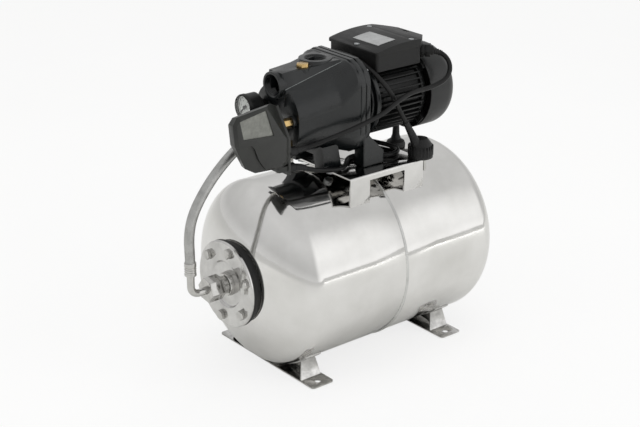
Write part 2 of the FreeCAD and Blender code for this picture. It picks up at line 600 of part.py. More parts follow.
def along_gland(a, b, r, flats=None):
    if flats is None:
        return Part.makeCylinder(r, b - a, GLAND_P + GLAND_WAY * a, GLAND_WAY)
    solid = hex_z(0, b - a, flats, 0, 0, 30)
    solid.rotate(V(0, 0, 0), V(0, 1, 0), 90)
    solid.rotate(V(0, 0, 0), V(0, 0, 1), -45)
    solid.translate(GLAND_P + GLAND_WAY * a)
    return solid


tbox = tbox.cut(along_gland(-6, 6, 5.9))
parts["terminal_box"] = tbox.removeSplitter()


def vault(z_side, y0, y1, low, drop=0.0, x0=bx0 - 2, x1=bx1 + 2):
    """The lid's arched section pushed from y0 to y1."""
    crest = V(68, y0, 469.0 - drop)
    start = V(x0, y0, 461.0 - drop)
    end = V(x1, y0, 464.0 - drop)
    wire = Part.Wire([Part.LineSegment(V(x0, y0, low), start).toShape(),
                      Part.Arc(start, crest, end).toShape(),
                      Part.LineSegment(end, V(x1, y0, low)).toShape(),
                      Part.LineSegment(V(x1, y0, low), V(x0, y0, low)).toShape()])
    return Part.Face(wire).extrude(V(0, y1 - y0, 0))


lid_outer = vault(0, by0 - 3, by1 + 3, BOX_TOP).common(
    prism(box_plan(400, 1.8), V(0, 0, 100)))
lid_outer = lid_outer.makeFillet(4.0, [e for e in lid_outer.Edges
                                       if abs(e.Vertexes[0].X - e.Vertexes[1].X) < 0.1
                                       and abs(e.Vertexes[0].Y - e.Vertexes[1].Y) < 0.1])
lid = lid_outer.cut(vault(0, by0 - 3, by1 + 3, BOX_TOP - 1, 2.6).common(
    prism(box_plan(400, -2.5), V(0, 0, 100))))
screws = []
for x, y, top in BOX_SCREWS:
    lid = lid.fuse(cyl_z(BOX_TOP, top, 6.0, x, y).common(lid_outer))
for x, y, top in BOX_SCREWS:
    lid = lid.cut(cyl_z(top - 1.5, 480, 4.8, x, y))
    lid = lid.cut(cyl_z(BOX_TOP - 1, 480, 2.3, x, y))
    one = cyl_z(top - 1.5, top + 0.7, 4.0, x, y)
    one = one.fuse(cyl_z(PAD_TOP + 11, top - 1, 2.0, x, y))
    one = one.cut(box(x - 5, x + 5, y - 0.6, y + 0.6, top - 0.5, top + 3))
    screws.append(one)
parts["terminal_lid"] = lid.removeSplitter()
parts["lid_screws"] = Part.makeCompound(screws)
lab = vault(0, -37, 19, 440, -0.8).cut(vault(0, -40, 22, 430)).common(box(24, 57, -37, 19, 440, 480))
parts["label_plate"] = lab
parts["capacitor"] = cyl_x(24, 74, 7.0, 28, PAD_TOP + 2.5 + 7.0)
gland = along_gland(0, 5, 0, 19.0).fuse(along_gland(-6, 1, 5.9))
gland = gland.fuse(along_gland(5, 7, 8.5)).fuse(along_gland(7, 15, 0, 18.0))
gland = gland.fuse(along_gland(15, 19, 7.0))
parts["box_gland"] = gland.cut(along_gland(-20, 30, 3.8)).removeSplitter()

# Rubber foot that props the motor on the tank, and its stud
MF_X = 97.0
FOOT_TOP = AX - FIN_R + 1.5
profile = [V(MF_X, 0, 287.0), V(MF_X + 14.6, 0, 287.0), V(MF_X + 14.8, 0, 291.0),
           V(MF_X + 13.2, 0, 295.5), V(MF_X + 8.0, 0, 299.0), V(MF_X + 5.6, 0, 306.0),
           V(MF_X + 4.6, 0, FOOT_TOP), V(MF_X, 0, FOOT_TOP)]
motor_foot = Part.Face(Part.makePolygon(profile + [profile[0]])).revolve(
    V(MF_X, 0, 0), V(0, 0, 1), 360)
motor_foot = motor_foot.cut(cyl_x(50, 140, TANK_R, 0, TANK_Z))
parts["motor_foot"] = motor_foot.cut(parts["motor_frame"])

# Brass plugs in the casing
plug = hex_z(PLUG_Z, PLUG_Z + 5.5, 16.0, PLUG_X, PLUG_Y, -11)
plug = plug.fuse(cyl_z(441, PLUG_Z + 1, 6.5, PLUG_X, PLUG_Y))
parts["priming_plug"] = plug.removeSplitter()
drain = hex_x(-137, -131, 13.0, DRAIN_Y, DRAIN_Z).fuse(cyl_x(-132, -126, 5.0, DRAIN_Y, DRAIN_Z))
parts["drain_plug"] = drain.removeSplitter()

# Gauge: case with stem, dial, needle and glass
gauge = revolve([(-172.0, 0), (-172.0, 17.4), (GAUGE_FACE - 1.6, 17.4), (GAUGE_FACE - 1.6, 18.6),
                 (-172.5, 19.6), (-168.0, 19.6), (-168.0, 18.8), (-151.0, 18.8), (-149.0, 16.5),
                 (-149.0, 6.5), (-137.0, 6.5), (-137.0, 5.0), (-127.0, 5.0), (-127.0, 0)],
                GAUGE_Y, GAUGE_Z)
gauge = gauge.fuse(hex_x(-146, -139, 14.0, GAUGE_Y, GAUGE_Z))
GAUGE_IN = -167.0
gauge = gauge.cut(cyl_x(-174, GAUGE_IN, 17.4, GAUGE_Y, GAUGE_Z))
parts["gauge_case"] = gauge.removeSplitter()
PIN_R = 1.2
parts["gauge_dial"] = tube_x(GAUGE_IN - 0.8, GAUGE_IN, PIN_R + 0.3, 17.4, GAUGE_Y, GAUGE_Z)
needle = cyl_x(-171.2, GAUGE_IN + 0.0, PIN_R, GAUGE_Y, GAUGE_Z)
needle = needle.fuse(cyl_x(-171.2, -169.4, 2.6, GAUGE_Y, GAUGE_Z))
needle = needle.fuse(prism([V(-170.8, GAUGE_Y - 1.2, GAUGE_Z - 5), V(-170.8, GAUGE_Y + 1.2, GAUGE_Z - 5),
                            V(-170.8, GAUGE_Y + 0.5, GAUGE_Z + 14),
                            V(-170.8, GAUGE_Y - 0.5, GAUGE_Z + 14)], V(0.8, 0, 0)))
needle.rotate(V(0, GAUGE_Y, GAUGE_Z), V(1, 0, 0), -135)
parts["gauge_needle"] = needle.removeSplitter()
parts["gauge_glass"] = cyl_x(GAUGE_FACE - 1.2, -172.0, 17.4, GAUGE_Y, GAUGE_Z)

# Pressure switch: base plate toward the pump and a deep moulded cover in front of it
BASE_A = -156.0
BASE_B = -152.0
sections = [
    (-61.0, [(-246, 406), (-239, 414), (-177, 422), (-165, 419), (-165, 338), (-172, 332),
             (-215, 334), (-229, 343), (-243, 376)]),
    (-57.0, [(-250, 406), (-243, 417), (-177, 424.5), (BASE_A, 420), (BASE_A, 333), (-167, 328),
             (-214, 331), (-231, 341), (-247, 376)]),
    (-45.0, [(-249, 405), (-242, 413.5), (-175, 421), (BASE_A, 417), (BASE_A, 333), (-166, 328),
             (-213, 331.5), (-228, 341), (-246, 376)]),
    (-12.0, [(-224, 392), (-217, 400), (-180, 405), (BASE_A, 403), (BASE_A, 340), (-166, 336),
             (-200, 338), (-208, 345), (-221, 368)]),
]
wires = []
for y, points in sections:
    corners = [V(x, y, z) for x, z in points]
    wires.append(Part.makePolygon(corners + [corners[0]]))
cover = Part.makeLoft(wires, True, True)


def corner_wedge(dx=0.0, dy=0.0, dz=0.0):
    """What the sloping near corner takes off the cover, moved inwards if asked."""
    face = [V(-150, -51, 367), V(-150, -7, 434.2), V(-150, -110, 434.2), V(-150, -110, 367)]
    wedge = prism(face, V(-80, -80, 0))
    wedge.translate(V(dx, dy, dz))
    return wedge


cover = cover.cut(corner_wedge())
cavity = prism([V(-222, -54, 352), V(-222, -54, 392), V(-214, -54, 401), V(BASE_A + 1, -54, 401),
                V(BASE_A + 1, -54, 344), V(-212, -54, 344)], V(0, 38, 0))
cover = cover.cut(cavity.cut(corner_wedge(-1.7, 1.7, -1.1)))
cover = cover.cut(prism([V(-241, -62, 411), V(-197, -62, 418.5), V(-184, -62, 380),
                         V(-235, -62, 384)], V(0, 2.6, 0)))
cover = cover.cut(prism([V(-270, -62, 371), V(-222, -62, 373), V(-217, -62, 368),
                         V(-210, -62, 350), V(-202, -62, 338), V(-186, -62, 320),
                         V(-270, -62, 320)], V(0, 4.0, 0)))
parts["switch_cover"] = cover.removeSplitter()
plate = [(-57.0, 367.0), (-29.5, 409.0), (-12.5, 402.0), (-12.5, 338.0), (-34.0, 332.0),
         (-34.0, 314.0), (-57.0, 314.0)]
sbase = prism([V(BASE_A, y, z) for y, z in plate], V(BASE_B - BASE_A, 0, 0))
step = box(BASE_A - 3, BASE_A + 1, -53.7, -16.3, 344.3, 400.7)
sbase = sbase.fuse(step.cut(corner_wedge(-2.7, 2.7, -1.7)))
sbase = sbase.fuse(box(BASE_A - 15, BASE_A + 1, -55, -37, 320.0, 327.4))
sbase = sbase.cut(cyl_x(-180, -145, 6.5, FIT_Y, FIT_Z))
LEVER_X = -167.0
PIVOT_Z = 350.0
yoke = box(LEVER_X - 4, BASE_A - 2, FIT_Y - 15, FIT_Y - 12.2, 345, 357)
yoke = yoke.fuse(box(LEVER_X - 4, BASE_A - 2, FIT_Y + 12.2, FIT_Y + 15, 345, 357))
hole = Part.makeCylinder(2.4 + RUN, 40, V(LEVER_X, FIT_Y - 20, PIVOT_Z), V(0, 1, 0))
POST_Z = 394.0
post = cyl_x(-206, BASE_A - 2, 2.5, FIT_Y, POST_Z).fuse(cyl_x(-206, -203, 6.3, FIT_Y, POST_Z))
sbase = sbase.fuse(yoke).fuse(post).cut(hole)
GLANDS = [(-46.0, 320.0), (-50.0, 345.0)]
for y, z in GLANDS:
    sbase = sbase.cut(cyl_x(-170, -145, 3.8, y, z))
parts["switch_base"] = sbase.removeSplitter()
lever = box(LEVER_X - 1.2, LEVER_X + 1.2, FIT_Y - 7, FIT_Y + 7, 351, 399)
lever = lever.cut(cyl_x(-180, -160, 3.6, FIT_Y, POST_Z))
lever = lever.fuse(cyl_x(LEVER_X, BASE_A - 1.5, 4.0, FIT_Y, FIT_Z))
pin = Part.makeCylinder(2.4, 30, V(LEVER_X, FIT_Y - 15, PIVOT_Z), V(0, 1, 0))
parts["switch_lever"] = lever.fuse(pin).removeSplitter()
coil_len = LEVER_X - 1.2 + 203.0
helix = Part.makeHelix(coil_len / 6 - 0.35, coil_len - 2.1, 4.9)
# the wire has eight flats, so that the long helix stays light
turns = [math.radians(22.5 + 45 * i) for i in range(9)]
wire_ring = Part.makePolygon([V(4.9 + 0.84 * math.cos(t), 0, 0.84 * math.sin(t)) for t in turns])
spring = Part.Wire(helix.Edges).makePipeShell([wire_ring], True, True)
spring.rotate(V(0, 0, 0), V(0, 1, 0), -90)
spring.translate(V(LEVER_X - 1.2 - 1.0, FIT_Y, POST_Z))
parts["switch_spring"] = spring
parts["switch_cap"] = tube_x(BASE_A - 1.4, BASE_B, 5.0, 6.5, FIT_Y, FIT_Z)
fit = hex_x(BASE_B, BASE_B + 15.5, 13.0, FIT_Y, FIT_Z, 12)
fit = fit.fuse(cyl_x(BASE_A - 1.4, -127, 5.0, FIT_Y, FIT_Z))
parts["switch_fitting"] = fit.cut(cyl_x(-170, -120, 2.5, FIT_Y, FIT_Z)).removeSplitter()
glands = []
for y, z in GLANDS:
    one = hex_x(BASE_B, BASE_B + 4, 15.0, y, z).fuse(cyl_x(BASE_B + 4, BASE_B + 13, 7.0, y, z))
    glands.append(one.cut(cyl_x(-170, -120, 3.8, y, z)))
parts["switch_glands"] = Part.makeCompound(glands)

# Braided hose between the casing and the tank flange
HOSE_R = 7.4
LOW_X = -287.0
hose_route = [(LOW_X, 0, 180), (LOW_X, 0, 208), (LOW_X - 1, 0, 236), (LOW_X + 5, 0, 264),
              (-265, 0, 292), (-239, 0, 321), (-206, 0, 347), (-180, 0, HOSE_Z), (-158, 0, HOSE_Z)]
parts["braided_hose"] = cord(hose_route, HOSE_R, "braided_hose")
parts["hose_ferrules"] = Part.makeCompound([
    Part.makeCylinder(8.7, 20, V(LOW_X, 0, 178), V(0, 0, 1)).cut(
        Part.makeCylinder(HOSE_R + 0.02, 30, V(LOW_X, 0, 180), V(0, 0, 1))).cut(
        Part.makeCylinder(5.5, 30, V(LOW_X, 0, 170), V(0, 0, 1))),
    cyl_x(-170, -156, 8.7, 0, HOSE_Z).cut(cyl_x(-180, -158, HOSE_R + 0.02, 0, HOSE_Z)).cut(
        cyl_x(-160, -150, 5.5, 0, HOSE_Z))])
elbow = cord([(LOW_X, 0, 180), (LOW_X, 0, TANK_Z), (-257, 0, TANK_Z)], 5.5, "hose_elbow")
elbow = elbow.fuse(cyl_x(-257.8, -247, 12.6, 0, TANK_Z))
parts["hose_elbow"] = elbow.removeSplitter()
nut = hex_x(-262, -238, 32.0, 0, TANK_Z, 8)
nut = nut.cut(cyl_x(-258, -230, 13.2, 0, TANK_Z)).cut(cyl_x(-270, -250, 5.8, 0, TANK_Z))
parts["union_nut"] = nut
tail = hex_x(-150, -137, 24.0, 0, HOSE_Z, 8).fuse(cyl_x(-158, -149, 5.5, 0, HOSE_Z))
tail = tail.fuse(cyl_x(-138, -127, 7.0, 0, HOSE_Z)).cut(cyl_x(-160, -120, 3.5, 0, HOSE_Z))
parts["hose_tail"] = tail.removeSplitter()

# Cables: motor to switch, and switch to plug
CABLE_R = 3.5
nose = GLAND_P + GLAND_WAY * 6.0
tip = GLAND_P + GLAND_WAY * 28.0
motor_route = [(nose.x, nose.y, nose.z), (tip.x, tip.y, tip.z), (129.8, -79.4, 432.3),
               (118.7, -88.2, 411.8), (88.2, -81.5, 400.5), (54, -81.5, 402), (24, -83, 394),
               (-4, -83, 380), (-34, -80, 372),
               (-64, -78, 366), (-94, -72, 359), (-116, -60, 350), (-134, -50, 345), (-154, -50, 345)]
parts["motor_cable"] = cord(motor_route, CABLE_R, "motor_cable")
FLOOR = BR_TOP + CABLE_R + 0.3
mains_route = [(-154, -46, 320), (-132, -46, 320), (-112, -50, 311), (-88, -52, 304),
               (-59, -58, FLOOR), (-37, -42, FLOOR), (-20, -24, FLOOR), (4, -26, FLOOR),
               (32, -54, FLOOR), (53, -53.3, FLOOR), (66.5, -37.5, FLOOR), (62.5, -11.5, FLOOR),
               (50, 20, FLOOR + 1), (44, 50, 305), (26, 76, 318), (8, 86, 345), (-2, 86, 375),
               (-5, 84, 405), (-5, 72, 432), (-4, 44, 446), (-4, 12, 449), (-4, -20, 448),
               (-4, -48, 440), (6, -66, 424), (22, -72, 401), (33, -74, 379), (45, -76, 357),
               (56, -79, 336), (62, -80, 324)]
parts["mains_cable"] = cord(mains_route, CABLE_R, "mains_cable")

# Plug standing face down over the rear corner of the bracket
PG_X = 74.0
PG_Y = -80.0
PG_Z = BR_TOP + 0.1
turned = [V(PG_X, PG_Y, PG_Z), V(PG_X + 18.5, PG_Y, PG_Z), V(PG_X + 18.5, PG_Y, PG_Z + 12),
          V(PG_X + 15.5, PG_Y, PG_Z + 22), V(PG_X + 10, PG_Y, PG_Z + 29), V(PG_X, PG_Y, PG_Z + 31)]
body = Part.Face(Part.makePolygon(turned + [turned[0]])).revolve(V(PG_X, PG_Y, 0), V(0, 0, 1), 360)
last, before = V(*mains_route[-1]), V(*mains_route[-2])
back = (before - last).normalize()
root = last - back * 14
body = body.fuse(Part.makeCone(9.0, 5.6, 24, root, back))
body = body.cut(Part.makeCylinder(CABLE_R + SOFT, 60, last, back))
for side in (-1, 1):
    body = body.cut(cyl_z(PG_Z - 1, PG_Z + 8, 2.4, PG_X, PG_Y + side * 9.5))
parts["plug_body"] = body.removeSplitter()
parts["plug_pins"] = Part.makeCompound([cyl_z(PG_Z - 19, PG_Z + 8, 2.4, PG_X, PG_Y - 9.5),
                                        cyl_z(PG_Z - 19, PG_Z + 8, 2.4, PG_X, PG_Y + 9.5)])

for name, shape in parts.items():
    shape = shape.copy()
    shape.translate(V(SEAM_X, 0, 0))
    shape.exportStep("parts/%s.step" % name)
print(len(parts), "parts")
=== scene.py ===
# %% [markdown]
# # A booster pump set, dressed for its photograph
# A jet pump and its motor stand on a bright stainless pressure tank. A pressure
# switch, a gauge and a braided hose complete the set. The CAD model already holds
# every solid in its place, so this lesson adds what CAD leaves out: soft edges,
# cast and moulded surfaces, woven steel, printed marks, cords and light.
#
# All lengths below are written in millimetres, as a maker would, and one small
# function turns them into Blender's metres.

import math
from contextlib import contextmanager

import bpy
from mathutils import Matrix, Vector


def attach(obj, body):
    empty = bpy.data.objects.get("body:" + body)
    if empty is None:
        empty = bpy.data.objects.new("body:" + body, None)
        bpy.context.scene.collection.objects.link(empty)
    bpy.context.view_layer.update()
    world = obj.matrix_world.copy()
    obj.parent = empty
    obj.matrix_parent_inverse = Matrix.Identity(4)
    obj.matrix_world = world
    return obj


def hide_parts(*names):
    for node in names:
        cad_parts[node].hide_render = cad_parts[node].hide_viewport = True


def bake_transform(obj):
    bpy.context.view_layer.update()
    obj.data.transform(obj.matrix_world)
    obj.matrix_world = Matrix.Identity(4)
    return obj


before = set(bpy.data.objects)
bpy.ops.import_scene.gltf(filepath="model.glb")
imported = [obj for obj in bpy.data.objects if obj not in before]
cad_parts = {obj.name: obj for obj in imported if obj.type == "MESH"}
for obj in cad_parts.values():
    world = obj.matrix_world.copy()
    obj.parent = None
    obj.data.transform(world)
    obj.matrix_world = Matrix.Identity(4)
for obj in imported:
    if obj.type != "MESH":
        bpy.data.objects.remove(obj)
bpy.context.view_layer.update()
MM = 0.001
SEAM = 9.0   # the tank's middle seam stands 9 mm along X from the frame's origin


def at(x, y, z):
    """A point measured from the tank's seam, in millimetres, as metres in the frame."""
    return Vector(((x + SEAM) * MM, y * MM, z * MM))


def linked(name, data):
    """A new object in the scene, at the origin, unturned and unscaled."""
    piece = bpy.data.objects.new(name, data)
    bpy.context.scene.collection.objects.link(piece)
    return piece


# %% [markdown]
# ## The camera
# The photographer stood in front and to the left, a little above the pump, with a
# long lens. Those numbers came from measuring the photograph: turned 39.3 degrees,
# looking down 22.2 degrees, about 81 mm on a full frame. A rotation matrix is built
# from the viewing direction, because it says exactly where the lens points.

# %% The camera
LENS_AT = (-1.29859, -1.53219, 1.02052)          # metres
SENSOR_MM, FOCAL_PX, PHOTO_PX = 36.0, 1432.52, 640
turn, down, lean = [math.radians(angle) for angle in (39.3288, 22.1972, 0.2823)]
look = Vector((math.sin(turn) * math.cos(down), math.cos(turn) * math.cos(down), -math.sin(down)))
side = Vector((math.cos(turn), -math.sin(turn), 0))
rise = side.cross(look)
side, rise = (side * math.cos(lean) + rise * math.sin(lean),
              rise * math.cos(lean) - side * math.sin(lean))
camera = linked("studio_camera", bpy.data.cameras.new("studio_camera"))
camera.data.lens = SENSOR_MM * FOCAL_PX / PHOTO_PX
camera.data.sensor_width = SENSOR_MM
camera.data.clip_end = 20
spin_matrix = Matrix((side, rise, -look)).transposed().to_4x4()
camera.matrix_world = Matrix.Translation(LENS_AT) @ spin_matrix
bpy.context.scene.camera = camera
print("lens %.1f mm" % camera.data.lens)

# %% [markdown]
# ## The three cords
# A mains lead, a motor lead and a braided hose are the only limp things here. Each
# is one smooth NURBS line through a short list of control points: the same points
# that the CAD route has. A NURBS line of order 3 cuts inside its corners, so it lies
# like a real lead and never shows a kink. The hose is woven later on, along points
# that are read back from its line.

# %% A function that lays a cord
def lay_cord(name, corners, thick):
    line = bpy.data.curves.new(name, "CURVE")
    line.dimensions = "3D"
    spline = line.splines.new("NURBS")
    spline.points.add(len(corners) - 1)
    for point, corner in zip(spline.points, corners):
        point.co = (*at(*corner), 1)
    spline.order_u = 3
    spline.use_endpoint_u = True
    spline.resolution_u = 16
    line.bevel_depth = thick / 2 * MM
    line.bevel_resolution = 5
    line.use_fill_caps = True
    return linked(name, line)


def points_along(cord):
    """The line's own points, read from a copy of the curve that has no thickness."""
    bare = cord.copy()
    bare.data = cord.data.copy()
    bare.data.bevel_depth = 0
    mesh = bpy.data.meshes.new_from_object(bare)
    points = [v.co.copy() for v in mesh.vertices]
    bpy.data.meshes.remove(mesh)
    bpy.data.objects.remove(bare)
    return points


def run_length(points):
    return sum((b - a).length for a, b in zip(points, points[1:]))


# %% The leads and the hose line
mains_lead = lay_cord("mains_lead", [
    (-154, -46, 320), (-132, -46, 320), (-112, -50, 311), (-88, -52, 304), (-59, -58, 301),
    (-37, -42, 301), (-20, -24, 301), (4, -26, 301), (32, -54, 301), (53, -53.3, 301),
    (66.5, -37.5, 301), (62.5, -11.5, 301), (50, 20, 302), (44, 50, 305), (26, 76, 318),
    (8, 86, 345), (-2, 86, 375), (-5, 84, 405), (-5, 72, 432), (-4, 44, 446), (-4, 12, 449),
    (-4, -20, 448), (-4, -48, 440), (6, -66, 424), (22, -72, 401), (33, -74, 379),
    (45, -76, 357), (56, -79, 336), (62, -80, 324)], 7)
motor_lead = lay_cord("motor_lead", [
    (108.74, -44.74, 446.5), (124.3, -60.3, 446.5), (129.8, -79.4, 432.3),
    (118.7, -88.2, 411.8), (88.2, -81.5, 400.5), (54, -81.5, 402), (24, -83, 394),
    (-4, -83, 380), (-34, -80, 372), (-64, -78, 366), (-94, -72, 359), (-116, -60, 350),
    (-134, -50, 345), (-154, -50, 345)], 7)
hose_line = lay_cord("hose_line", [
    (-287, 0, 180), (-287, 0, 208), (-288, 0, 236), (-282, 0, 264), (-265, 0, 292),
    (-239, 0, 321), (-206, 0, 347), (-180, 0, 358), (-158, 0, 358)], 14.8)
for cord in (mains_lead, motor_lead, hose_line):
    print(cord.name, "%.0f mm" % (run_length(points_along(cord)) / MM))

# %% [markdown]
# ## Helpers for finishes
# Colours are written as the sRGB hex codes that a paint shop uses, and one function
# turns them linear for the shader. A second small function adds any shader node with
# its settings and links, so that each finish below stays readable. A third gives a
# material or a world an empty tree to start from.

# %% Colour and node helpers
def colour(code):
    parts = [int(code[i:i + 2], 16) / 255 for i in (1, 3, 5)]
    return (*[c / 12.92 if c <= 0.04045 else ((c + 0.055) / 1.055) ** 2.4 for c in parts], 1.0)


def add(tree, kind, links=None, **settings):
    """One shader node. Capital names are sockets, small names are the node's own settings."""
    node = tree.nodes.new(kind)
    for name, value in settings.items():
        if name[0].isupper():
            node.inputs[name.replace("_", " ")].default_value = value
        else:
            setattr(node, name, value)
    for socket, source in (links or {}).items():
        tree.links.new(source, node.inputs[socket])
    return node


def bare_tree(owner):
    """The empty node tree of a material or a world."""
    owner.use_nodes = True
    owner.node_tree.nodes.clear()
    return owner.node_tree


# %% [markdown]
# Nearly every hard finish can be told in the same words: a base colour that wanders a
# little between two tones over some millimetres, a roughness that wanders too, and a
# fine bump from how the surface was made. `finish` takes those in real millimetres.
# `stretch` pulls the grain along one axis, which is how brushing and turning look.

# %% A recipe for hard finishes
def finish(name, dark, light, metal, rough, tone_mm, grain_mm, depth_mm, stretch=(1, 1, 1),
           **shader_settings):
    material = bpy.data.materials.new(name)
    tree = bare_tree(material)
    place = add(tree, "ShaderNodeTexCoord").outputs["Object"]
    pulled = add(tree, "ShaderNodeMapping", {"Vector": place}, Scale=stretch).outputs["Vector"]
    cloud = add(tree, "ShaderNodeTexNoise", {"Vector": place},
                Scale=1000 / tone_mm, Detail=4.0, Roughness=0.6)
    grain = add(tree, "ShaderNodeTexNoise", {"Vector": pulled},
                Scale=1000 / grain_mm, Detail=3.0, Roughness=0.55)
    tint = add(tree, "ShaderNodeValToRGB", {"Fac": cloud.outputs["Fac"]})
    tint.color_ramp.elements[0].position, tint.color_ramp.elements[1].position = 0.3, 0.7
    tint.color_ramp.elements[0].color = colour(dark)
    tint.color_ramp.elements[1].color = colour(light)
    both = add(tree, "ShaderNodeMath", {0: cloud.outputs["Fac"], 1: grain.outputs["Fac"]},
               operation="ADD")
    gloss = add(tree, "ShaderNodeMapRange", {"Value": both.outputs["Value"]},
                From_Min=0.7, From_Max=1.3, To_Min=rough[0], To_Max=rough[1])
    bump = add(tree, "ShaderNodeBump", {"Height": grain.outputs["Fac"]},
               Distance=depth_mm * MM, Strength=1.0)
    shader = add(tree, "ShaderNodeBsdfPrincipled",
                 {"Base Color": tint.outputs["Color"], "Roughness": gloss.outputs["Result"],
                  "Normal": bump.outputs["Normal"]}, Metallic=metal, **shader_settings)
    add(tree, "ShaderNodeOutputMaterial", {"Surface": shader.outputs["BSDF"]})
    return material


# %% [markdown]
# ## The finishes
# Each one is named for the real material. Metals keep the default IOR and get their
# look from colour, roughness and a directional grain. Paint and plastic get theirs
# from a soft sheen and a grain that is a little coarser than life, so that it shows.

# %% Bright and satin metals
# deep-drawn 304 sheet, polished after forming: near-mirror, with a faint slow waviness
polished_stainless = finish("polished_stainless_sheet", "#d2d1ce", "#e2e1df", 1.0, (0.045, 0.11),
                            90, 38, 0.10)
# the same sheet, cut and folded, polished in one direction: mirror with fine lines
bracket_stainless = finish("polished_folded_sheet", "#c9c8c6", "#dddcda", 1.0, (0.06, 0.15),
                           60, 1.6, 0.010, (0.05, 1, 1))
# hot-pressed steel, bright plated and tumbled: a softer, greyer shine
bright_steel = finish("bright_pressed_steel", "#bcbcba", "#d8d8d6", 1.0, (0.14, 0.28),
                      25, 1.4, 0.015, (0.12, 1, 1))
# strip folded by hand over a former: the same steel, with soft dents left from folding
folded_strip = finish("hand_folded_strip", "#a6a5a3", "#dcdbd9", 1.0, (0.08, 0.2), 14, 10, 0.55)
# zinc plating on screws and small stampings: pale, bluish, slightly mottled
zinc_plate = finish("zinc_plating", "#a9acae", "#cfd2d3", 1.0, (0.26, 0.44), 3.0, 0.8, 0.02)
# polished chrome over brass on the water fittings
chrome = finish("chrome_plating", "#b3b2af", "#cac9c6", 1.0, (0.07, 0.18), 9, 4.0, 0.05)
# machined brass, handled and a little dulled
brass = finish("machined_brass", "#bd9c66", "#d8bc84", 1.0, (0.2, 0.36), 5.0, 0.5, 0.012)
# ground steel shaft and turned steel
shaft_steel = finish("ground_steel", "#a9aaac", "#c2c3c5", 1.0, (0.18, 0.3), 12, 0.5, 0.008,
                     (8, 1, 1))
# stacked electrical sheet, lightly oxidised
core_steel = finish("stacked_core_steel", "#6f7274", "#8b8e90", 1.0, (0.38, 0.55), 8, 0.6, 0.03,
                    (40, 0.4, 0.4))
# bare aluminium plate, brushed lengthwise
bare_aluminium = finish("brushed_aluminium_plate", "#b4b5b5", "#cfd0d0", 1.0, (0.3, 0.45),
                        10, 0.5, 0.010, (0.05, 1, 1))

# %% Paints, plastics and rubber
# satin black enamel on sand-cast iron: soft sheen over an uneven casting skin
cast_enamel = finish("satin_enamel_on_cast_iron", "#090c0d", "#131617", 0.0, (0.26, 0.4),
                     30, 2.6, 0.08, Specular_IOR_Level=0.42, Coat_Weight=0.2, Coat_Roughness=0.16)
# the same enamel made pale on the raised seam's bead: a painted highlight along the crease
painted_crease_highlight = finish("painted_crease_highlight", "#5a5e5e", "#7d8180", 0.0, (0.3, 0.42), 6, 1.5, 0.02)
# the same enamel sprayed on die-cast aluminium: smoother
motor_enamel = finish("satin_enamel_on_die_casting", "#070808", "#0e0f0f", 0.0, (0.34, 0.48),
                      22, 1.6, 0.03, Specular_IOR_Level=0.33)
# deep-drawn sheet fan cowl with black powder coat: fine orange peel
powder_coat = finish("black_powder_coat", "#101111", "#191a1a", 0.0, (0.3, 0.42),
                     35, 1.2, 0.03, Specular_IOR_Level=0.5)
# glass-filled nylon, spark-eroded mould: dark, matt, finely grained
moulded_nylon = finish("moulded_black_nylon", "#0c0c0c", "#151515", 0.0, (0.4, 0.56),
                       18, 0.9, 0.035, Specular_IOR_Level=0.33)
# smooth ABS of the switch hood: the same black with more sheen
hood_abs = finish("smooth_black_abs", "#171816", "#222320", 0.0, (0.32, 0.44), 24, 1.4, 0.015)
# the hood's textured inset field, rubbed grey by the mould's leather grain
inset_abs = finish("grained_grey_abs", "#686964", "#82837d", 0.0, (0.45, 0.62), 7, 1.3, 0.10)
# rubber: bladder, buffer foot, seals
rubber = finish("black_rubber", "#0d0d0d", "#171717", 0.0, (0.5, 0.72), 9, 0.7, 0.03)
# soft PVC sheath of the leads: faint lengthwise sheen
lead_sheath = finish("soft_pvc_sheath", "#060606", "#0c0c0c", 0.0, (0.38, 0.52), 12, 1.0, 0.02,
                      Specular_IOR_Level=0.33)
# grey inner plastic and seal carbon, only seen when the set is taken apart
grey_acetal = finish("natural_grey_acetal", "#8d8f90", "#a3a5a6", 0.0, (0.35, 0.5), 20, 1.2, 0.02)
carbon = finish("seal_carbon", "#2b2c2e", "#3a3b3d", 0.0, (0.3, 0.45), 3, 0.4, 0.01)
print("finishes:", len(bpy.data.materials))

# %% [markdown]
# ## Tools for making pieces
# Most solids have the right shape already and only look raw: their edges are knife
# sharp. `finished_copy` welds a copy of the solid, clears its flat triangulation,
# and rounds every sharp edge by a real amount, as tumbling, casting or moulding
# does. It could also be a live bevel, but an applied one exports as it is seen.

# %% Helpers for selecting and editing
def only(piece):
    """Deselect everything, then make this the one selected, active object."""
    bpy.ops.object.select_all(action="DESELECT")
    piece.hide_set(False)
    piece.select_set(True)
    bpy.context.view_layer.objects.active = piece


@contextmanager
def edit_mode(piece):
    """Edit one mesh with all of it selected, then go back to object mode."""
    only(piece)
    bpy.ops.object.mode_set(mode="EDIT")
    bpy.ops.mesh.select_all(action="SELECT")
    yield
    bpy.ops.object.mode_set(mode="OBJECT")


def smooth_by_angle(piece, degrees):
    only(piece)
    bpy.ops.object.shade_smooth_by_angle(angle=math.radians(degrees))


def applied(piece, name, kind, **settings):
    """Shape the active piece with one modifier, applied at once."""
    modifier = piece.modifiers.new(name, kind)
    for setting, value in settings.items():
        setattr(modifier, setting, value)
    bpy.ops.object.modifier_apply(modifier=modifier.name)


def drawn_out(piece, step):
    """Extrude all of a mesh by one step and turn its faces outward."""
    with edit_mode(piece):
        bpy.ops.mesh.extrude_region_move(TRANSFORM_OT_translate={"value": step})
        bpy.ops.mesh.select_all(action="SELECT")
        bpy.ops.mesh.normals_make_consistent(inside=False)


def unit_cube(name):
    bpy.ops.object.select_all(action="DESELECT")
    bpy.ops.mesh.primitive_cube_add(size=1, location=(0, 0, 0))
    bpy.context.object.name = name
    return bpy.context.object


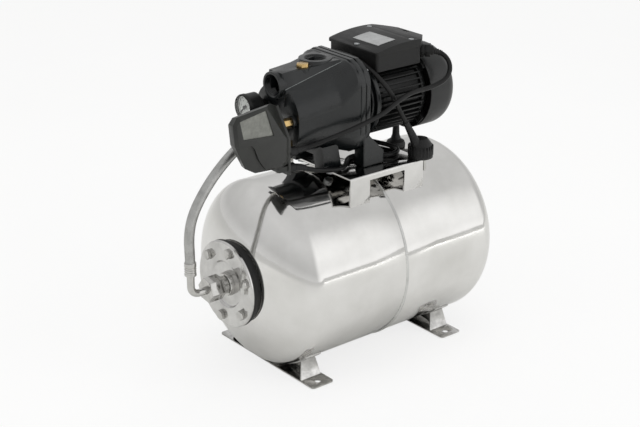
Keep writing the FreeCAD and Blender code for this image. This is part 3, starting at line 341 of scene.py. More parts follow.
def mesh_piece(name, points, edges, faces):
    mesh = bpy.data.meshes.new(name)
    mesh.from_pydata(points, edges, faces)
    return linked(name, mesh)


def joined(pieces, name):
    only(pieces[0])
    for piece in pieces:
        piece.select_set(True)
    bpy.ops.object.join()
    bpy.context.object.name = name
    return bpy.context.object


def coat(piece, material):
    piece.data.materials.clear()
    piece.data.materials.append(material)


def dress(piece, material, body="base", stands_for=()):
    """Give a piece its finish and the body that carries it."""
    coat(piece, material)
    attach(piece, body)
    if stands_for:
        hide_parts(*stands_for)
    return piece


# %% A softened copy of a CAD solid
WELD = 0.02 * MM   # points closer than this become one


def welded_copy(node, name, clear_flats=True):
    piece = linked(name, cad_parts[node].data.copy())
    only(piece)
    bpy.ops.mesh.customdata_custom_splitnormals_clear()
    with edit_mode(piece):
        bpy.ops.mesh.remove_doubles(threshold=WELD)
        if clear_flats:
            bpy.ops.mesh.dissolve_limited(angle_limit=math.radians(0.6))
    return piece


def finished_copy(node, name, round_mm, material, body="base", steps=2, angle=32,
                  weld_again=False):
    """Round the edges sharper than angle. A wide radius on small faces needs weld_again."""
    piece = welded_copy(node, name)
    if round_mm:
        applied(piece, "soft_edges", "BEVEL", width=round_mm * MM, segments=steps,
                limit_method="ANGLE", angle_limit=math.radians(angle),
                use_clamp_overlap=True, loop_slide=False)
    if weld_again:
        with edit_mode(piece):
            bpy.ops.mesh.remove_doubles(threshold=WELD)
            bpy.ops.mesh.dissolve_degenerate(threshold=WELD)
    smooth_by_angle(piece, angle)
    return dress(piece, material, body, (node,))


# %% [markdown]
# Round things are made the way a lathe makes them. A plane is collapsed to one point,
# that point is extruded along the outline, and the outline is spun about its axis.
# `turned` does this for an outline given as (along the axis, radius) in millimetres.

# %% A lathe
def turned(name, outline, through, axis, steps, material, stands_for=()):
    along = Vector({"X": (1, 0, 0), "Z": (0, 0, 1)}[axis])
    outward = Vector({"X": (0, 0, 1), "Z": (1, 0, 0)}[axis])
    centre = at(*through)
    spots = [centre + (along * a + outward * r) * MM for a, r in outline]
    bpy.ops.object.select_all(action="DESELECT")
    bpy.ops.mesh.primitive_plane_add(size=0.001, location=(0, 0, 0))
    piece = bpy.context.object
    piece.name = name
    with edit_mode(piece):
        bpy.ops.mesh.select_mode(type="VERT")
        bpy.ops.mesh.merge(type="CENTER")
        bpy.ops.transform.translate(value=spots[0])
        for a, b in zip(spots, spots[1:]):
            bpy.ops.mesh.extrude_region_move(TRANSFORM_OT_translate={"value": b - a})
        bpy.ops.mesh.select_all(action="SELECT")
        bpy.ops.mesh.spin(steps=steps, angle=2 * math.pi, center=centre, axis=along)
        bpy.ops.mesh.select_all(action="SELECT")
        bpy.ops.mesh.remove_doubles(threshold=0.000004)
        bpy.ops.mesh.normals_make_consistent(inside=False)
    smooth_by_angle(piece, 34)
    return dress(piece, material, stands_for=stands_for)


# %% [markdown]
# ## The tank
# The vessel is two deep-drawn stainless shells, welded together at a seam round the
# middle. The sheet is polished like a mirror, so any flat facet would show at once.
# It is therefore turned afresh as one skin in 224 steps. The drawn head isn't a
# sphere: its outline is a super-ellipse, 65.5 mm deep on a 140 mm radius.

# %% The tank's skin
TANK_R, TANK_Z, FRONT_X, REAR_X, HEAD = 140.0, 147.0, -155.0, 157.0, 65.5
MOUTH_R, VALVE_R, SHEET = 45.2, 6.4, 1.0   # the two openings, and how thick the sheet is
POWER = 2 / 1.88                           # 2 / 2 would be a plain ellipse


def head_outline(inner_r, steps, shrink):
    """(depth beyond the cylinder, radius) from the opening out to the cylinder."""
    start = math.asin((inner_r / TANK_R) ** (1 / POWER))
    points = []
    for i in range(steps + 1):
        t = start + (math.pi / 2 - start) * i / steps
        points.append(((HEAD - shrink) * math.cos(t) ** POWER if i < steps else 0.0,
                       (TANK_R - shrink) * math.sin(t) ** POWER))
    return points


def skin_outline(steps, shrink, barrel=()):
    """From the mouth over the front head, along the barrel and over the rear head."""
    front = [(FRONT_X - d, r) for d, r in head_outline(MOUTH_R, steps, shrink)]
    rear = [(REAR_X + d, r) for d, r in reversed(head_outline(VALVE_R, steps, shrink))]
    return front + list(barrel) + rear


# the barrel's stations, with a shallow groove at the seam for the weld bead
barrel = [(x, TANK_R) for x in (-110, -60, -3.2)] \
    + [(-2.2, TANK_R - 0.35), (2.2, TANK_R - 0.35)] + [(x, TANK_R) for x in (3.2, 60, 110)]
outer_skin = skin_outline(44, 0.0, barrel)
inner_skin = skin_outline(20, SHEET)
tank_skin = turned("tank_skin", outer_skin + inner_skin[::-1] + outer_skin[:1],
                   (0, 0, TANK_Z), "X", 224, polished_stainless,
                   stands_for=("tank_front_shell", "tank_rear_shell"))
print("tank skin:", len(tank_skin.data.polygons), "faces")

# %% [markdown]
# The weld bead is a low, rippled strip: the torch puts the metal down in small
# crescents, here one every 2.4 mm. The ripples are real faces, made by moving every
# other ring of the turned strip a little inwards and aside.

# %% The weld bead
BEAD_STEPS, CREST_R = 736, 140.2
bead = turned("tank_weld_bead", [(-2.4, 139.6), (-1.5, 140.8), (0, 141.3), (1.5, 140.8),
                                 (2.4, 139.6), (0, 139.2), (-2.4, 139.6)],
              (0, 0, TANK_Z), "X", BEAD_STEPS, bright_steel,
              stands_for=("tank_seam_bead",))
middle = at(0, 0, TANK_Z)
for v in bead.data.vertices:
    flat = Vector((0, v.co.y - middle.y, v.co.z - middle.z))
    if flat.length > CREST_R * MM:
        step = round(math.atan2(flat.z, flat.y) / (2 * math.pi) * BEAD_STEPS)
        outward, aside = (-0.22, 0.25) if step % 2 else (0.0, -0.1)
        v.co += flat.normalized() * (outward * MM)
        v.co.x += aside * MM
print("weld bead:", len(bead.data.polygons), "faces")

# %% [markdown]
# ## Flange, bolts, nipple, feet, bracket
# A six-bolt steel flange closes the tank's mouth and clamps the rubber bladder. The
# pump stands on a folded stainless bracket, and the tank on two pressed strip feet.
# Their solids are right, so each is copied, welded and has its edges broken.

# %% Pressed and machined steel
finished_copy("tank_neck_ring", "neck_ring", 0.5, rubber)
# the disc is pressed from thick sheet and only rough-polished, so what it mirrors is broken up
flange_steel = finish("pressed_flange_steel", "#b9b8b6", "#d6d5d3", 1.0, (0.09, 0.22), 26, 15, 0.40)
flange = finished_copy("tank_flange", "flange_disc", 0.5, flange_steel)
# The steel is 4 mm thick. Behind it a black band shows: partly the bladder's black lip, partly a
# painted dark reflection of the flange's back.
# So the rim is cut by a plane and the part behind the cut gets the rubber.
DARK_BAND_X, DARK_BAND_R = (-224.2 + SEAM) * MM, 60 * MM
with edit_mode(flange):
    bpy.ops.mesh.bisect(plane_co=(DARK_BAND_X, 0, 0), plane_no=(1, 0, 0))
flange.data.materials.append(rubber)
# rubber on the steel rim behind the cut: partly the bladder's lip, partly a painted dark reflection
for face in flange.data.polygons:
    across = Vector((0, face.center.y, face.center.z - TANK_Z * MM)).length
    face.material_index = 1 if face.center.x > DARK_BAND_X and across > DARK_BAND_R else 0
finished_copy("flange_nipple", "hose_nipple", 0.4, chrome)
finished_copy("flange_bolts", "flange_bolt_set", 0.35, chrome)
finished_copy("front_foot", "front_strip_foot", 0.8, folded_strip)
finished_copy("rear_foot", "rear_strip_foot", 0.8, folded_strip)
finished_copy("pump_bracket", "folded_bracket", 0.7, bracket_stainless)
finished_copy("pump_bolts", "pump_bolt_set", 0.35, zinc_plate)
finished_copy("air_valve", "air_valve_stem", 0.3, brass)
finished_copy("valve_cap", "air_valve_cap", 0.6, moulded_nylon)

# %% [markdown]
# ## The pump casing
# The casing and the lantern behind it are sand castings: no edge is sharp and the skin
# is a little uneven. The casing's creases show in the photograph, so its edges are only
# rounded. The lantern's inside corners are full of metal: a voxel remesh melts its
# solid into one skin, and a light smoothing fills the corners.

# %% Melting a solid into a casting
def casting(node, name, voxel_mm, passes, material):
    piece = welded_copy(node, name, clear_flats=False)
    applied(piece, "melt", "REMESH", mode="VOXEL", voxel_size=voxel_mm * MM,
            use_smooth_shade=True)
    applied(piece, "soften", "SMOOTH", factor=0.5, iterations=passes)
    bpy.ops.object.shade_smooth()
    dress(piece, material, stands_for=(node,))
    print(name, len(piece.data.polygons), "faces")


finished_copy("pump_casing", "cast_pump_casing", 0.9, cast_enamel, steps=3)
casting("lantern", "cast_lantern", 1.05, 2, cast_enamel)

# %% [markdown]
# The ports are machined after casting and dipped in the same black enamel: a faced
# ring and a pipe thread. A thread could be a helix; at this size rings with a 2.3 mm pitch
# look the same and stay light, so each port gets a turned, grooved liner.

# %% Port threads
PORT_BORE, THREAD_PITCH = 15.2, 2.3


def threaded_liner(name, through, axis, mouth, inward, depth):
    root, crest, wall = PORT_BORE - 0.1, PORT_BORE - 1.0, PORT_BORE + 0.3
    end = mouth + inward * depth
    outline = [(mouth, PORT_BORE + 0.15)]
    for i in range(int(depth / THREAD_PITCH)):
        a = mouth + inward * (0.4 + i * THREAD_PITCH)
        outline += [(a, root), (a + inward * THREAD_PITCH / 2, crest)]
    outline += [(end, root), (end, wall), (mouth, wall), outline[0]]
    turned(name, outline, through, axis, 72, cast_enamel)


threaded_liner("suction_port_thread", (0, 0, 428), "X", -139.2, 1, 14)
threaded_liner("discharge_port_thread", (-62.6, 0, 0), "Z", 453.7, -1, 12.4)

# %% [markdown]
# On the real casting the ridge between the two ports has flat flanks, which meet a
# flat shoulder in one crisp line from the suction port up to the flange. The shoulder
# runs out tangent to the barrel. Both are one wedge on each side: a box is cut into
# stations along its length, each station's corners are moved to their place, and the
# long edges get a fine radius, which catches the light as a thin line.

# %% The ridge's flanks and shoulders
# x, then half width and height of the top line, the crease and the shoulder's lower line
STATIONS = [(-133, 15.0, 447.2, 20.8, 425.2, 25.0, 421.6),
            (-112, 17.0, 448.6, 22.3, 430.8, 32.9, 423.4),
            (-92, 20.4, 448.9, 24.4, 436.6, 38.4, 425.0),
            (-74, 24.0, 451.0, 26.9, 442.0, 43.3, 426.1),
            (-62, 25.8, 453.2, 29.0, 445.7, 46.4, 426.0),
            (-56, 26.6, 454.0, 30.0, 447.6, 45.6, 433.4),
            (-41, 30.4, 455.0, 33.3, 452.6, 41.5, 447.5)]
# the wedge's hidden side, buried in the casting: its half width, and its depth below each line
HIDDEN_Y, UNDER_TOP, UNDER_CREASE, UNDER_LOW, BEHIND_LOW = 12.0, 0.8, 8, 12, 8
FINE_RADIUS = 0.5


def ridge_flank(name, mirror):
    flank = unit_cube(name)
    spans = len(STATIONS) - 1
    cuts = [((i / spans - 0.5, 0, 0), (1, 0, 0)) for i in range(1, spans)]
    with edit_mode(flank):
        for place, normal in cuts + [((0, 0, 0), (0, 0, 1))]:
            bpy.ops.mesh.select_all(action="SELECT")
            bpy.ops.mesh.bisect(plane_co=place, plane_no=normal)
    for v in flank.data.vertices:
        x, top_y, top_z, crease_y, crease_z, low_y, low_z = STATIONS[round((v.co.x + 0.5) * spans)]
        outer = {1: (top_y, top_z), 0: (crease_y, crease_z), -1: (low_y, low_z)}
        inner = {1: (HIDDEN_Y, top_z - UNDER_TOP), 0: (HIDDEN_Y, crease_z - UNDER_CREASE),
                 -1: (low_y - BEHIND_LOW, low_z - UNDER_LOW)}
        y, z = (outer if v.co.y < 0 else inner)[round(v.co.z * 2)]
        v.co = at(x, mirror * y, z)
    with edit_mode(flank):
        bpy.ops.mesh.normals_make_consistent(inside=False)
        bpy.ops.mesh.bevel(offset=FINE_RADIUS * MM, segments=2)
    smooth_by_angle(flank, 25)
    return dress(flank, cast_enamel)


def crease_bead(name, mirror):
    """The mould's seam along the crease: a thin bead, coloured pale as a painted highlight along
    the crease.
    """
    sunk = 0.05
    line = bpy.data.curves.new(name, "CURVE")
    line.dimensions, line.bevel_depth, line.bevel_resolution = "3D", FINE_RADIUS * MM, 2
    line.use_fill_caps = True
    run = line.splines.new("POLY")
    run.points.add(len(STATIONS) - 1)
    for point, (x, _, _, y, z, _, _) in zip(run.points, STATIONS):
        point.co = (*at(x, mirror * (y - sunk), z - sunk), 1.0)
    seam = linked(name, line)
    only(seam)
    bpy.ops.object.convert(target="MESH")
    smooth_by_angle(seam, 50)
    # the bead's pale colour is a painted highlight, not the enamel's own tone
    return dress(seam, painted_crease_highlight)


for label, mirror in (("near", -1), ("far", 1)):
    print(ridge_flank("ridge_flank_" + label, mirror).name,
          crease_bead("crease_bead_" + label, mirror).name)

# %% [markdown]
# Casing and lantern meet in two raised ribs with a shadow gap between. Their outline
# is a square with two chamfers at each corner. One closed outline is drawn out along
# the shaft's axis into a band, thickened outward and softened.

# %% The flange ribs
JOINT_X, FLANGE_Z, HALF = -25.0, 387.0, 68.0
CORNER = [(HALF, 34), (HALF - 8.5, HALF - 12.5), (HALF - 27, HALF)]
RIB_WALL, RIB_RADIUS = 3.0, 0.7


def flange_rib(name, start, end):
    """A rib from start to end, both measured along X from the joint."""
    quarter = CORNER + [(-y, z) for y, z in reversed(CORNER)]
    outline = quarter + [(-y, -z) for y, z in quarter]
    count = len(outline)
    rib = mesh_piece(name, [at(JOINT_X + start, y, FLANGE_Z + z) for y, z in outline],
                     [(i, (i + 1) % count) for i in range(count)], [])
    drawn_out(rib, ((end - start) * MM, 0, 0))
    applied(rib, "thickness", "SOLIDIFY", thickness=RIB_WALL * MM, offset=-0.2,
            use_even_offset=True)
    applied(rib, "soft_edges", "BEVEL", width=RIB_RADIUS * MM, segments=3,
            limit_method="ANGLE", angle_limit=math.radians(15))
    smooth_by_angle(rib, 20)
    return dress(rib, cast_enamel)


print(flange_rib("casing_flange_rib", -8.5, -1.3).name,
      flange_rib("lantern_flange_rib", 1.3, 8.0).name)

# %% Casing hardware
finished_copy("casing_bolts", "casing_bolt_set", 0.35, zinc_plate)
finished_copy("priming_plug", "brass_priming_plug", 0.4, brass)
finished_copy("drain_plug", "brass_drain_plug", 0.35, brass)

# %% [markdown]
# ## The motor
# A finned die-cast frame, a drawn fan cowl and a moulded terminal box with a bare
# type plate. Their edges are broken by what each process leaves: half a millimetre
# on a casting, a little more on a moulding. The box's thin tray keeps its edges,
# because rounding them left small gaps in its skin.

# %% Motor pieces
finished_copy("motor_frame", "finned_frame", 0.35, motor_enamel, angle=40)
finished_copy("rear_shield", "rear_end_shield", 0.5, motor_enamel)
finished_copy("fan_cover", "fan_cowl", 0.5, powder_coat)
finished_copy("terminal_box", "terminal_box_tray", 0, moulded_nylon)
finished_copy("terminal_lid", "terminal_box_lid", 0.9, moulded_nylon)
finished_copy("lid_screws", "lid_screw_set", 0.25, zinc_plate)
finished_copy("label_plate", "bare_type_plate", 0.2, bare_aluminium)
finished_copy("box_gland", "box_cable_gland", 0.5, moulded_nylon)
finished_copy("motor_foot", "rubber_buffer_foot", 1.0, rubber)

# %% [markdown]
# ## Pressure switch and gauge
# The switch hood is a smooth moulding with an inset grained field on its sloping
# front. The field is the same solid: its faces are found by where they lie, and
# only they get the lighter, grained finish. The range spring stands on the post's
# washer.

# %% The switch
FIELD = ((-243, -184), (-60.9, -57), (378, 420))   # the inset field's reach along x, y and z
hood = finished_copy("switch_cover", "switch_hood", 1.8, hood_abs, steps=4,
                     weld_again=True)
hood.data.materials.append(inset_abs)
inset_faces = 0
for face in hood.data.polygons:
    spot = (face.center.x / MM - SEAM, face.center.y / MM, face.center.z / MM)
    if face.normal.y < -0.8 and all(low < c < high for c, (low, high) in zip(spot, FIELD)):
        face.material_index = 1
        inset_faces += 1
print("inset field:", inset_faces, "faces")
finished_copy("switch_base", "switch_base_plate", 0.5, hood_abs)
finished_copy("switch_lever", "switch_lever_strip", 0.3, zinc_plate, "lever")
spring = linked("range_spring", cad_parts["switch_spring"].data.copy())
coat(spring, shaft_steel)
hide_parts("switch_spring")
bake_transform(spring)
finished_copy("switch_cap", "switch_inlet_cap", 0.3, moulded_nylon)
finished_copy("switch_fitting", "brass_switch_fitting", 0.35, brass)
finished_copy("switch_glands", "switch_cable_glands", 0.5, moulded_nylon)

# %% [markdown]
# The gauge is a 40 mm dial in a black case. Its white face carries generic marks: a
# long one at each whole number, short ones between, and plain figures. The marks are
# thin strips: flat bars are laid round the face over 270 degrees, and all of them
# are drawn out together.

# %% The gauge case and glass
GAUGE_Y, GAUGE_Z, FACE_X = 24.0, 396.0, -168.05
finished_copy("gauge_case", "gauge_housing", 0.5, moulded_nylon)
dial_white = finish("printed_white_dial", "#efefec", "#f6f6f3", 0.0, (0.4, 0.5), 12, 0.6, 0.004)
dial_ink = finish("black_dial_ink", "#1b1b1c", "#242425", 0.0, (0.45, 0.55), 4, 0.4, 0.002)
clear_glass = bpy.data.materials.new("clear_gauge_glass")
glass_tree = bare_tree(clear_glass)
smear = add(glass_tree, "ShaderNodeTexNoise",
            {"Vector": add(glass_tree, "ShaderNodeTexCoord").outputs["Object"]}, Scale=90.0)
haze = add(glass_tree, "ShaderNodeMapRange", {"Value": smear.outputs["Fac"]},
           To_Min=0.01, To_Max=0.07)
glass_shader = add(glass_tree, "ShaderNodeBsdfPrincipled", {"Roughness": haze.outputs["Result"]},
                   Base_Color=colour("#fbfdfc"), Transmission_Weight=1.0, IOR=1.45)
add(glass_tree, "ShaderNodeOutputMaterial", {"Surface": glass_shader.outputs["BSDF"]})


# %% The dial's marks
MARKS, LONG_EVERY, OUTER_R = 50, 5, 15.6
LONG_MARK, SHORT_MARK = (12.2, 0.22), (13.7, 0.1)   # where each starts, and half its width


def dial_angle(i, count):
    return math.radians(-135 + 270 * i / count)


def dial_point(angle, radius, lift=0.0):
    """A point on the face. The face is seen from -X, where +Y lies to the left."""
    return at(FACE_X - lift, GAUGE_Y - radius * math.sin(angle), GAUGE_Z + radius * math.cos(angle))


strips, faces = [], []
for i in range(MARKS + 1):
    inner_r, half = SHORT_MARK if i % LONG_EVERY else LONG_MARK
    corner = len(strips)
    for radius, offset in ((inner_r, -half), (OUTER_R, -half), (OUTER_R, half), (inner_r, half)):
        strips.append(dial_point(dial_angle(i, MARKS) + offset / radius, radius))
    faces.append((corner, corner + 1, corner + 2, corner + 3))
marks = mesh_piece("dial_marks", strips, [], faces)
drawn_out(marks, (-0.04 * MM, 0, 0))
dress(marks, dial_ink)
print("dial marks:", len(faces))

# %% The dial's figures
FIGURE_R, FIGURE_SIZE = 9.6, 3.6
upright = Matrix(((0, 0, -1), (-1, 0, 0), (0, 1, 0))).to_4x4()
figures = []
for i in range(6):
    words = bpy.data.curves.new("figure", "FONT")
    words.body, words.size, words.extrude = str(2 * i), FIGURE_SIZE * MM, 0.03 * MM
    words.align_x, words.align_y = "CENTER", "CENTER"
    figure = linked("dial_figure_%d" % (2 * i), words)
    only(figure)
    bpy.ops.object.convert(target="MESH")
    spot = dial_point(dial_angle(i, 5), FIGURE_R, 0.03)
    figure.data.transform(Matrix.Translation(spot) @ upright)
    figures.append(figure)
dial_figures = dress(joined(figures, "dial_figures"), dial_ink)
print("figures joined:", len(dial_figures.data.polygons), "faces")

# %% [markdown]
# ## Braided hose and its fittings
# The hose is a rubber tube inside a sleeve of stainless wire. Two dozen flat bands of
# wire run round it one way and two dozen the other, each passing over one and under
# the next. A pattern painted on a tube could suggest that, but only real bands
# catch the light like the hose in the photograph. Each band is a closed, four-sided
# strip that follows the hose's own line, lifted and lowered as it crosses the others.

# %% Frames and rings that travel along a line
ROUND = 28   # points in a ring


def even_points(points, spacing):
    """Points at an even spacing along the same line."""
    result, carried = [points[0].copy()], 0.0
    for a, b in zip(points, points[1:]):
        step = (b - a).length
        while carried + step >= spacing:
            share = (spacing - carried) / step
            a = a.lerp(b, share)
            step = (b - a).length
            result.append(a.copy())
            carried = 0.0
        carried += step
    return result + [points[-1].copy()]


def travelling_frames(points):
    """Position, two cross directions and distance at each point, without any twist."""
    frames, across, gone = [], Vector((0, 1, 0)), 0.0
    for i, p in enumerate(points):
        ahead = (points[min(i + 1, len(points) - 1)] - points[max(i - 1, 0)]).normalized()
        across = (across - ahead * across.dot(ahead)).normalized()
        if i:
            gone += (p - points[i - 1]).length
        frames.append((p, across, ahead.cross(across), gone))
    return frames


def ring_points(p, u, v, radius_mm):
    angles = [2 * math.pi * k / ROUND for k in range(ROUND)]
    return [p + (u * math.cos(angle) + v * math.sin(angle)) * radius_mm * MM for angle in angles]


def tube_faces(first, rings):
    """A closed tube over rings of points that follow one another from point first."""
    sides = []
    for i in range(rings - 1):
        for k in range(ROUND):
            a, b = first + i * ROUND + k, first + i * ROUND + (k + 1) % ROUND
            sides.append((a, b, b + ROUND, a + ROUND))
    last = first + (rings - 1) * ROUND
    return sides + [tuple(range(first, first + ROUND))[::-1], tuple(range(last, last + ROUND))]


# %% Weaving the sleeve
HOSE_R, CORE_R, BANDS, RISE = 7.22, 6.85, 24, 0.10
PITCH = 2 * math.pi * HOSE_R
# a band's four corners as (angle to the side, height), and a factor that widens it
BAND_SECTION, WIDEN = ((-0.068, -0.09), (0, 0.06), (0.068, -0.09), (0, -0.15)), 1.42

hose_points = points_along(hose_line)
hose_frames = travelling_frames(even_points(hose_points, 1.0 * MM))
spots, quads = [], []
for way in (1, -1):
    for band in range(BANDS):
        phase = 2 * math.pi * band / BANDS
        first = len(spots)
        for p, u, v, gone in hose_frames:
            twist = 2 * math.pi * gone / MM / PITCH
            crossing = (2 * twist + way * phase) * BANDS / (2 * math.pi)
            lift = way * RISE * math.cos(math.pi * (crossing + band))
            for offset, crown in BAND_SECTION:
                angle = phase + way * twist + offset * WIDEN
                radius = (HOSE_R + lift + crown) * MM
                spots.append(p + (u * math.cos(angle) + v * math.sin(angle)) * radius)
        last = len(spots) - 4
        strip = [(first + 3, first + 2, first + 1, first), (last, last + 1, last + 2, last + 3)]
        for a in range(first, last, 4):
            for j in range(4):
                b = (j + 1) % 4
                strip.append((a + j, a + b, a + 4 + b, a + 4 + j))
        quads += strip if way == 1 else [quad[::-1] for quad in strip]
core_first = len(spots)
for p, u, v, gone in hose_frames:
    spots += ring_points(p, u, v, CORE_R)
quads += tube_faces(core_first, len(hose_frames))
sleeve = mesh_piece("braided_sleeve", spots, [], quads)
bpy.data.objects.remove(hose_line)
smooth_by_angle(sleeve, 60)
# woven 0.2 mm stainless wire: bright, with a fine lengthwise grain
braid_wire = finish("woven_stainless_wire", "#a9a9a7", "#c2c2c0", 1.0, (0.26, 0.38), 18, 0.5, 0.01)
dress(sleeve, braid_wire, stands_for=("braided_hose",))
sleeve.data.materials.append(rubber)
for face in sleeve.data.polygons:
    face.material_index = 1 if face.vertices[0] >= core_first else 0
print("sleeve:", len(quads), "faces")

# %% [markdown]
# Each end of the sleeve is held by a bright ferrule, pressed on with crimp rings.
# Ferrules, elbow, nut and tail are chromed brass.

# %% Ferrules and fittings
def ferrule(name, start, axis, length):
    inside, low, high = 7.0, 7.95, 8.65
    outline = [(0, inside), (0, 8.2), (0.8, high), (3.6, high)]
    for crimp in (4.6, 8.0, 11.4):
        outline += [(crimp, low), (crimp + 1.4, low), (crimp + 2.4, high)]
    outline = [p for p in outline if p[0] < length - 1.5]
    outline += [(length - 0.8, high), (length, 8.1), (length, inside), (0, inside)]
    return turned(name, outline, start, axis, 48, chrome)


lower_ferrule = ferrule("lower_ferrule", (-287, 0, 178), "Z", 20)
ferrule("upper_ferrule", (-170, 0, 358), "X", 14)
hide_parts("hose_ferrules")
finished_copy("hose_elbow", "chromed_elbow", 0.4, chrome)
finished_copy("union_nut", "chromed_union_nut", 0.5, chrome)
finished_copy("hose_tail", "chromed_hose_tail", 0.4, chrome)

# %% [markdown]
# ## The plug and the strain reliefs
# The mains lead ends in a round two-pin plug, hung by its own lead beside the motor.
# Where a lead leaves a housing, a tapered rubber sleeve keeps it from bending
# sharply. The sleeves follow the lead's line, and are ringed like the real ones.

# %% A tapered sleeve on a lead
GROOVE, LEAST_R = 0.75, 3.6   # how deep the grooves between the rings are, and how far they go


def strain_relief(name, lead_points, skip_mm, length_mm, thick, thin):
    frames = travelling_frames(even_points(lead_points, 0.8 * MM))
    frames = [f for f in frames if skip_mm * MM <= f[3] <= (skip_mm + length_mm) * MM]
    spots = []
    for i, (p, u, v, gone) in enumerate(frames):
        share = (gone / MM - skip_mm) / length_mm
        radius = thick + (thin - thick) * share
        if 0.1 < share < 0.92 and (i // 2) % 2:
            radius = max(radius - GROOVE, LEAST_R)
        spots += ring_points(p, u, v, radius)
    piece = mesh_piece(name, spots, [], tube_faces(0, len(frames)))
    smooth_by_angle(piece, 50)
    return dress(piece, rubber)


mains_points = points_along(mains_lead)
motor_points = points_along(motor_lead)
entry_relief = strain_relief("switch_entry_relief", mains_points, 14.0, 22, 5.6, 4.2)
plug_relief = strain_relief("plug_relief", mains_points[::-1], 10.0, 26, 6.0, 4.3)
box_relief = strain_relief("box_entry_relief", motor_points, 6.0, 20, 5.4, 4.2)
switch_relief = strain_relief("motor_lead_relief", motor_points[::-1], 14.0, 20, 5.4, 4.2)

# %% The plug, with grip ribs round its middle
RIBS, RIB_SIZE, GRIP_R, GRIP_AT = 22, (1.6, 1.9, 15), 18.3, (74, -80, 308.5)
plug = finished_copy("plug_body", "moulded_plug", 0.8, moulded_nylon, steps=3)
first_rib = unit_cube("first_grip_rib")
first_rib.data.transform(Matrix.Diagonal((*[s * MM for s in RIB_SIZE], 1)))
with edit_mode(first_rib):
    bpy.ops.mesh.bevel(offset=0.45 * MM, segments=2)
grip = []
for i in range(RIBS):
    rib = linked("grip_rib", first_rib.data.copy())
    around = Matrix.Rotation(2 * math.pi * i / RIBS, 4, "Z")
    rib.data.transform(Matrix.Translation(at(*GRIP_AT)) @ around
                       @ Matrix.Translation((GRIP_R * MM, 0, 0)))
    grip.append(rib)
bpy.data.objects.remove(first_rib)
grip_ribs = joined(grip, "plug_grip_ribs")
smooth_by_angle(grip_ribs, 40)
dress(grip_ribs, moulded_nylon)
pins = finished_copy("plug_pins", "plated_plug_pins", 0.4, chrome)

# %% Dressing the two leads
dress(mains_lead, lead_sheath, stands_for=("mains_cable",))
dress(motor_lead, lead_sheath, stands_for=("motor_cable",))
print("leads %.3f and %.3f m, hose %.3f m" % (run_length(mains_points),
                                              run_length(motor_points), run_length(hose_points)))

# %% [markdown]
# ## What stays as CAD made it
# Inner parts and a few small outer ones need no new shape, only their finish. The
# list pairs each with its material, so that nothing is left in a plain colour.

# %% Finishes for the remaining solids
inner = {
    "bladder": rubber, "casing_seal": rubber, "ejector": grey_acetal, "diffuser": grey_acetal,
    "impeller": brass, "shaft_seal": rubber, "seal_seat": carbon, "shaft": shaft_steel,
    "rotor": core_steel, "bearings": shaft_steel, "stator": core_steel, "fan": moulded_nylon,
    "capacitor": moulded_nylon, "gauge_dial": dial_white,
    "gauge_needle": dial_ink, "gauge_glass": clear_glass,
}
for node, material in inner.items():
    coat(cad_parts[node], material)
shown = [n for n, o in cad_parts.items() if not o.hide_render]
print("CAD nodes still shown:", sorted(shown))
print("not in the list:", sorted(set(shown) - set(inner)))

# %% [markdown]
# ## Floor and light
# The product was photographed on white. The floor is a pale sheet that keeps the
# object's shadow. Polished steel shows whatever surrounds it, so the room matters
# more than the lamps: the world is pale above and below with a dimmer band at the
# height of the horizon, which draws the long grey gradients on the tank, and one
# wide, soft-edged window of light stands in front and to the right. The camera
# itself sees plain white behind the object.

# %% The floor
bpy.ops.object.select_all(action="DESELECT")
bpy.ops.mesh.primitive_grid_add(x_subdivisions=24, y_subdivisions=24, size=60.0,
                                location=(0.6, 0.8, -0.0006))
floor = bpy.context.object
floor.name = "studio_floor"
paper = finish("pale_paper_floor", "#f0f0ee", "#f4f4f2", 0.0, (0.7, 0.85), 400, 3, 0.02)
# the paper is lit from above and below in the studio: to the camera it glows by this
# share, which makes it white and still leaves the object's shadow on it
GLOW_SHARE = 0.78
paper_tree = paper.node_tree
surface = next(n for n in paper_tree.nodes if n.type == "BSDF_PRINCIPLED")
end = next(n for n in paper_tree.nodes if n.type == "OUTPUT_MATERIAL")
seen = add(paper_tree, "ShaderNodeLightPath").outputs["Is Camera Ray"]
share = add(paper_tree, "ShaderNodeMath", {0: seen}, operation="MULTIPLY")
share.inputs[1].default_value = GLOW_SHARE
glow = add(paper_tree, "ShaderNodeEmission", Color=colour("#ffffff"), Strength=1.0)
blend_in = add(paper_tree, "ShaderNodeMixShader",
               {0: share.outputs[0], 1: surface.outputs[0], 2: glow.outputs[0]})
paper_tree.links.new(blend_in.outputs[0], end.inputs["Surface"])
floor.data.materials.append(paper)


# %% The lamps
def soft_lamp(name, place, target, size, watts):
    light = bpy.data.lights.new(name, "AREA")
    light.shape, light.size, light.size_y = "RECTANGLE", size[0], size[1]
    light.energy = watts
    lamp = linked(name, light)
    aim = (Vector(target) - Vector(place)).to_track_quat("-Z", "Y")
    lamp.matrix_world = Matrix.Translation(place) @ aim.to_matrix().to_4x4()
    lamp.visible_glossy = False   # polished steel shows the pale room, not the lamps
    lamp.visible_camera = False   # and no view from another side shows them either


soft_lamp("overhead_softbox", (0.1, -0.1, 2.3), (0, 0, 0.3), (1.8, 1.4), 11)
soft_lamp("left_softbox", (-2.2, 0.4, 1.3), (0, 0, 0.25), (1.1, 1.6), 7)
soft_lamp("right_softbox", (1.5, -1.9, 0.6), (0, 0, 0.25), (0.9, 1.5), 14)

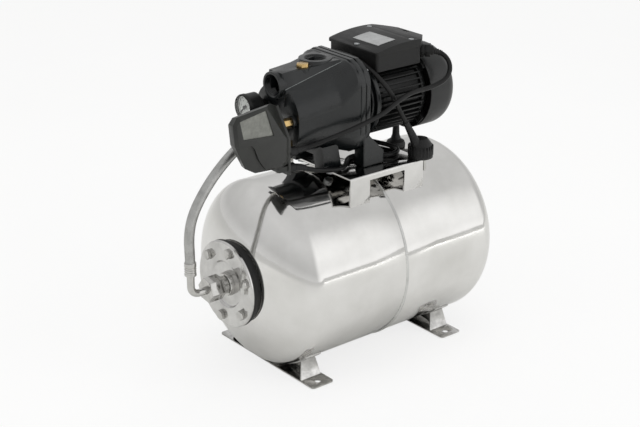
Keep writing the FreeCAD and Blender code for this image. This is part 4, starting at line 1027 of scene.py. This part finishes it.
# %% The room
# the walls' tone from straight below (0) to straight above (1)
WALLS = ((0.44, "#f4f4f4"), (0.5, "#f0f0f0"), (0.57, "#dcdcdc"), (0.8, "#eeeeee"))
WINDOW_TOWARD, WINDOW_LIGHT = (0.50, -0.85, 0.13), 0.5
WINDOW_EDGE, WINDOW_CORE = 0.72, 0.99   # cosines of where it begins and where it is full

world = bpy.data.worlds.new("studio_room")
bpy.context.scene.world = world
room = bare_tree(world)
direction = add(room, "ShaderNodeTexCoord").outputs["Generated"]
height = add(room, "ShaderNodeSeparateXYZ", {"Vector": direction}).outputs["Z"]
level = add(room, "ShaderNodeMapRange", {"Value": height}, From_Min=-1.0, From_Max=1.0)
walls = add(room, "ShaderNodeValToRGB", {"Fac": level.outputs["Result"]})
stops = walls.color_ramp.elements
stops[0].position, stops[0].color = 0.0, colour("#f0f0f0")
stops[1].position, stops[1].color = 1.0, colour("#e6e6e6")
for position, tone in WALLS:
    stops.new(position).color = colour(tone)
seen = add(room, "ShaderNodeLightPath").outputs["Is Camera Ray"]
air = add(room, "ShaderNodeBackground", {"Color": walls.outputs["Color"]}, Strength=0.9)
white = add(room, "ShaderNodeBackground", Color=colour("#ffffff"), Strength=1.0)
toward = add(room, "ShaderNodeVectorMath", {0: direction}, operation="DOT_PRODUCT")
toward.inputs[1].default_value = WINDOW_TOWARD
spread = add(room, "ShaderNodeMapRange", {"Value": toward.outputs["Value"]},
             interpolation_type="SMOOTHSTEP", From_Min=WINDOW_EDGE, From_Max=WINDOW_CORE,
             To_Max=WINDOW_LIGHT)
window = add(room, "ShaderNodeBackground", {"Strength": spread.outputs["Result"]},
             Color=colour("#ffffff"))
lit_air = add(room, "ShaderNodeAddShader", {0: air.outputs[0], 1: window.outputs[0]})
mixed = add(room, "ShaderNodeMixShader", {0: seen, 1: lit_air.outputs[0], 2: white.outputs[0]})
add(room, "ShaderNodeOutputWorld", {"Surface": mixed.outputs[0]})
bpy.context.scene.view_settings.view_transform = "Standard"
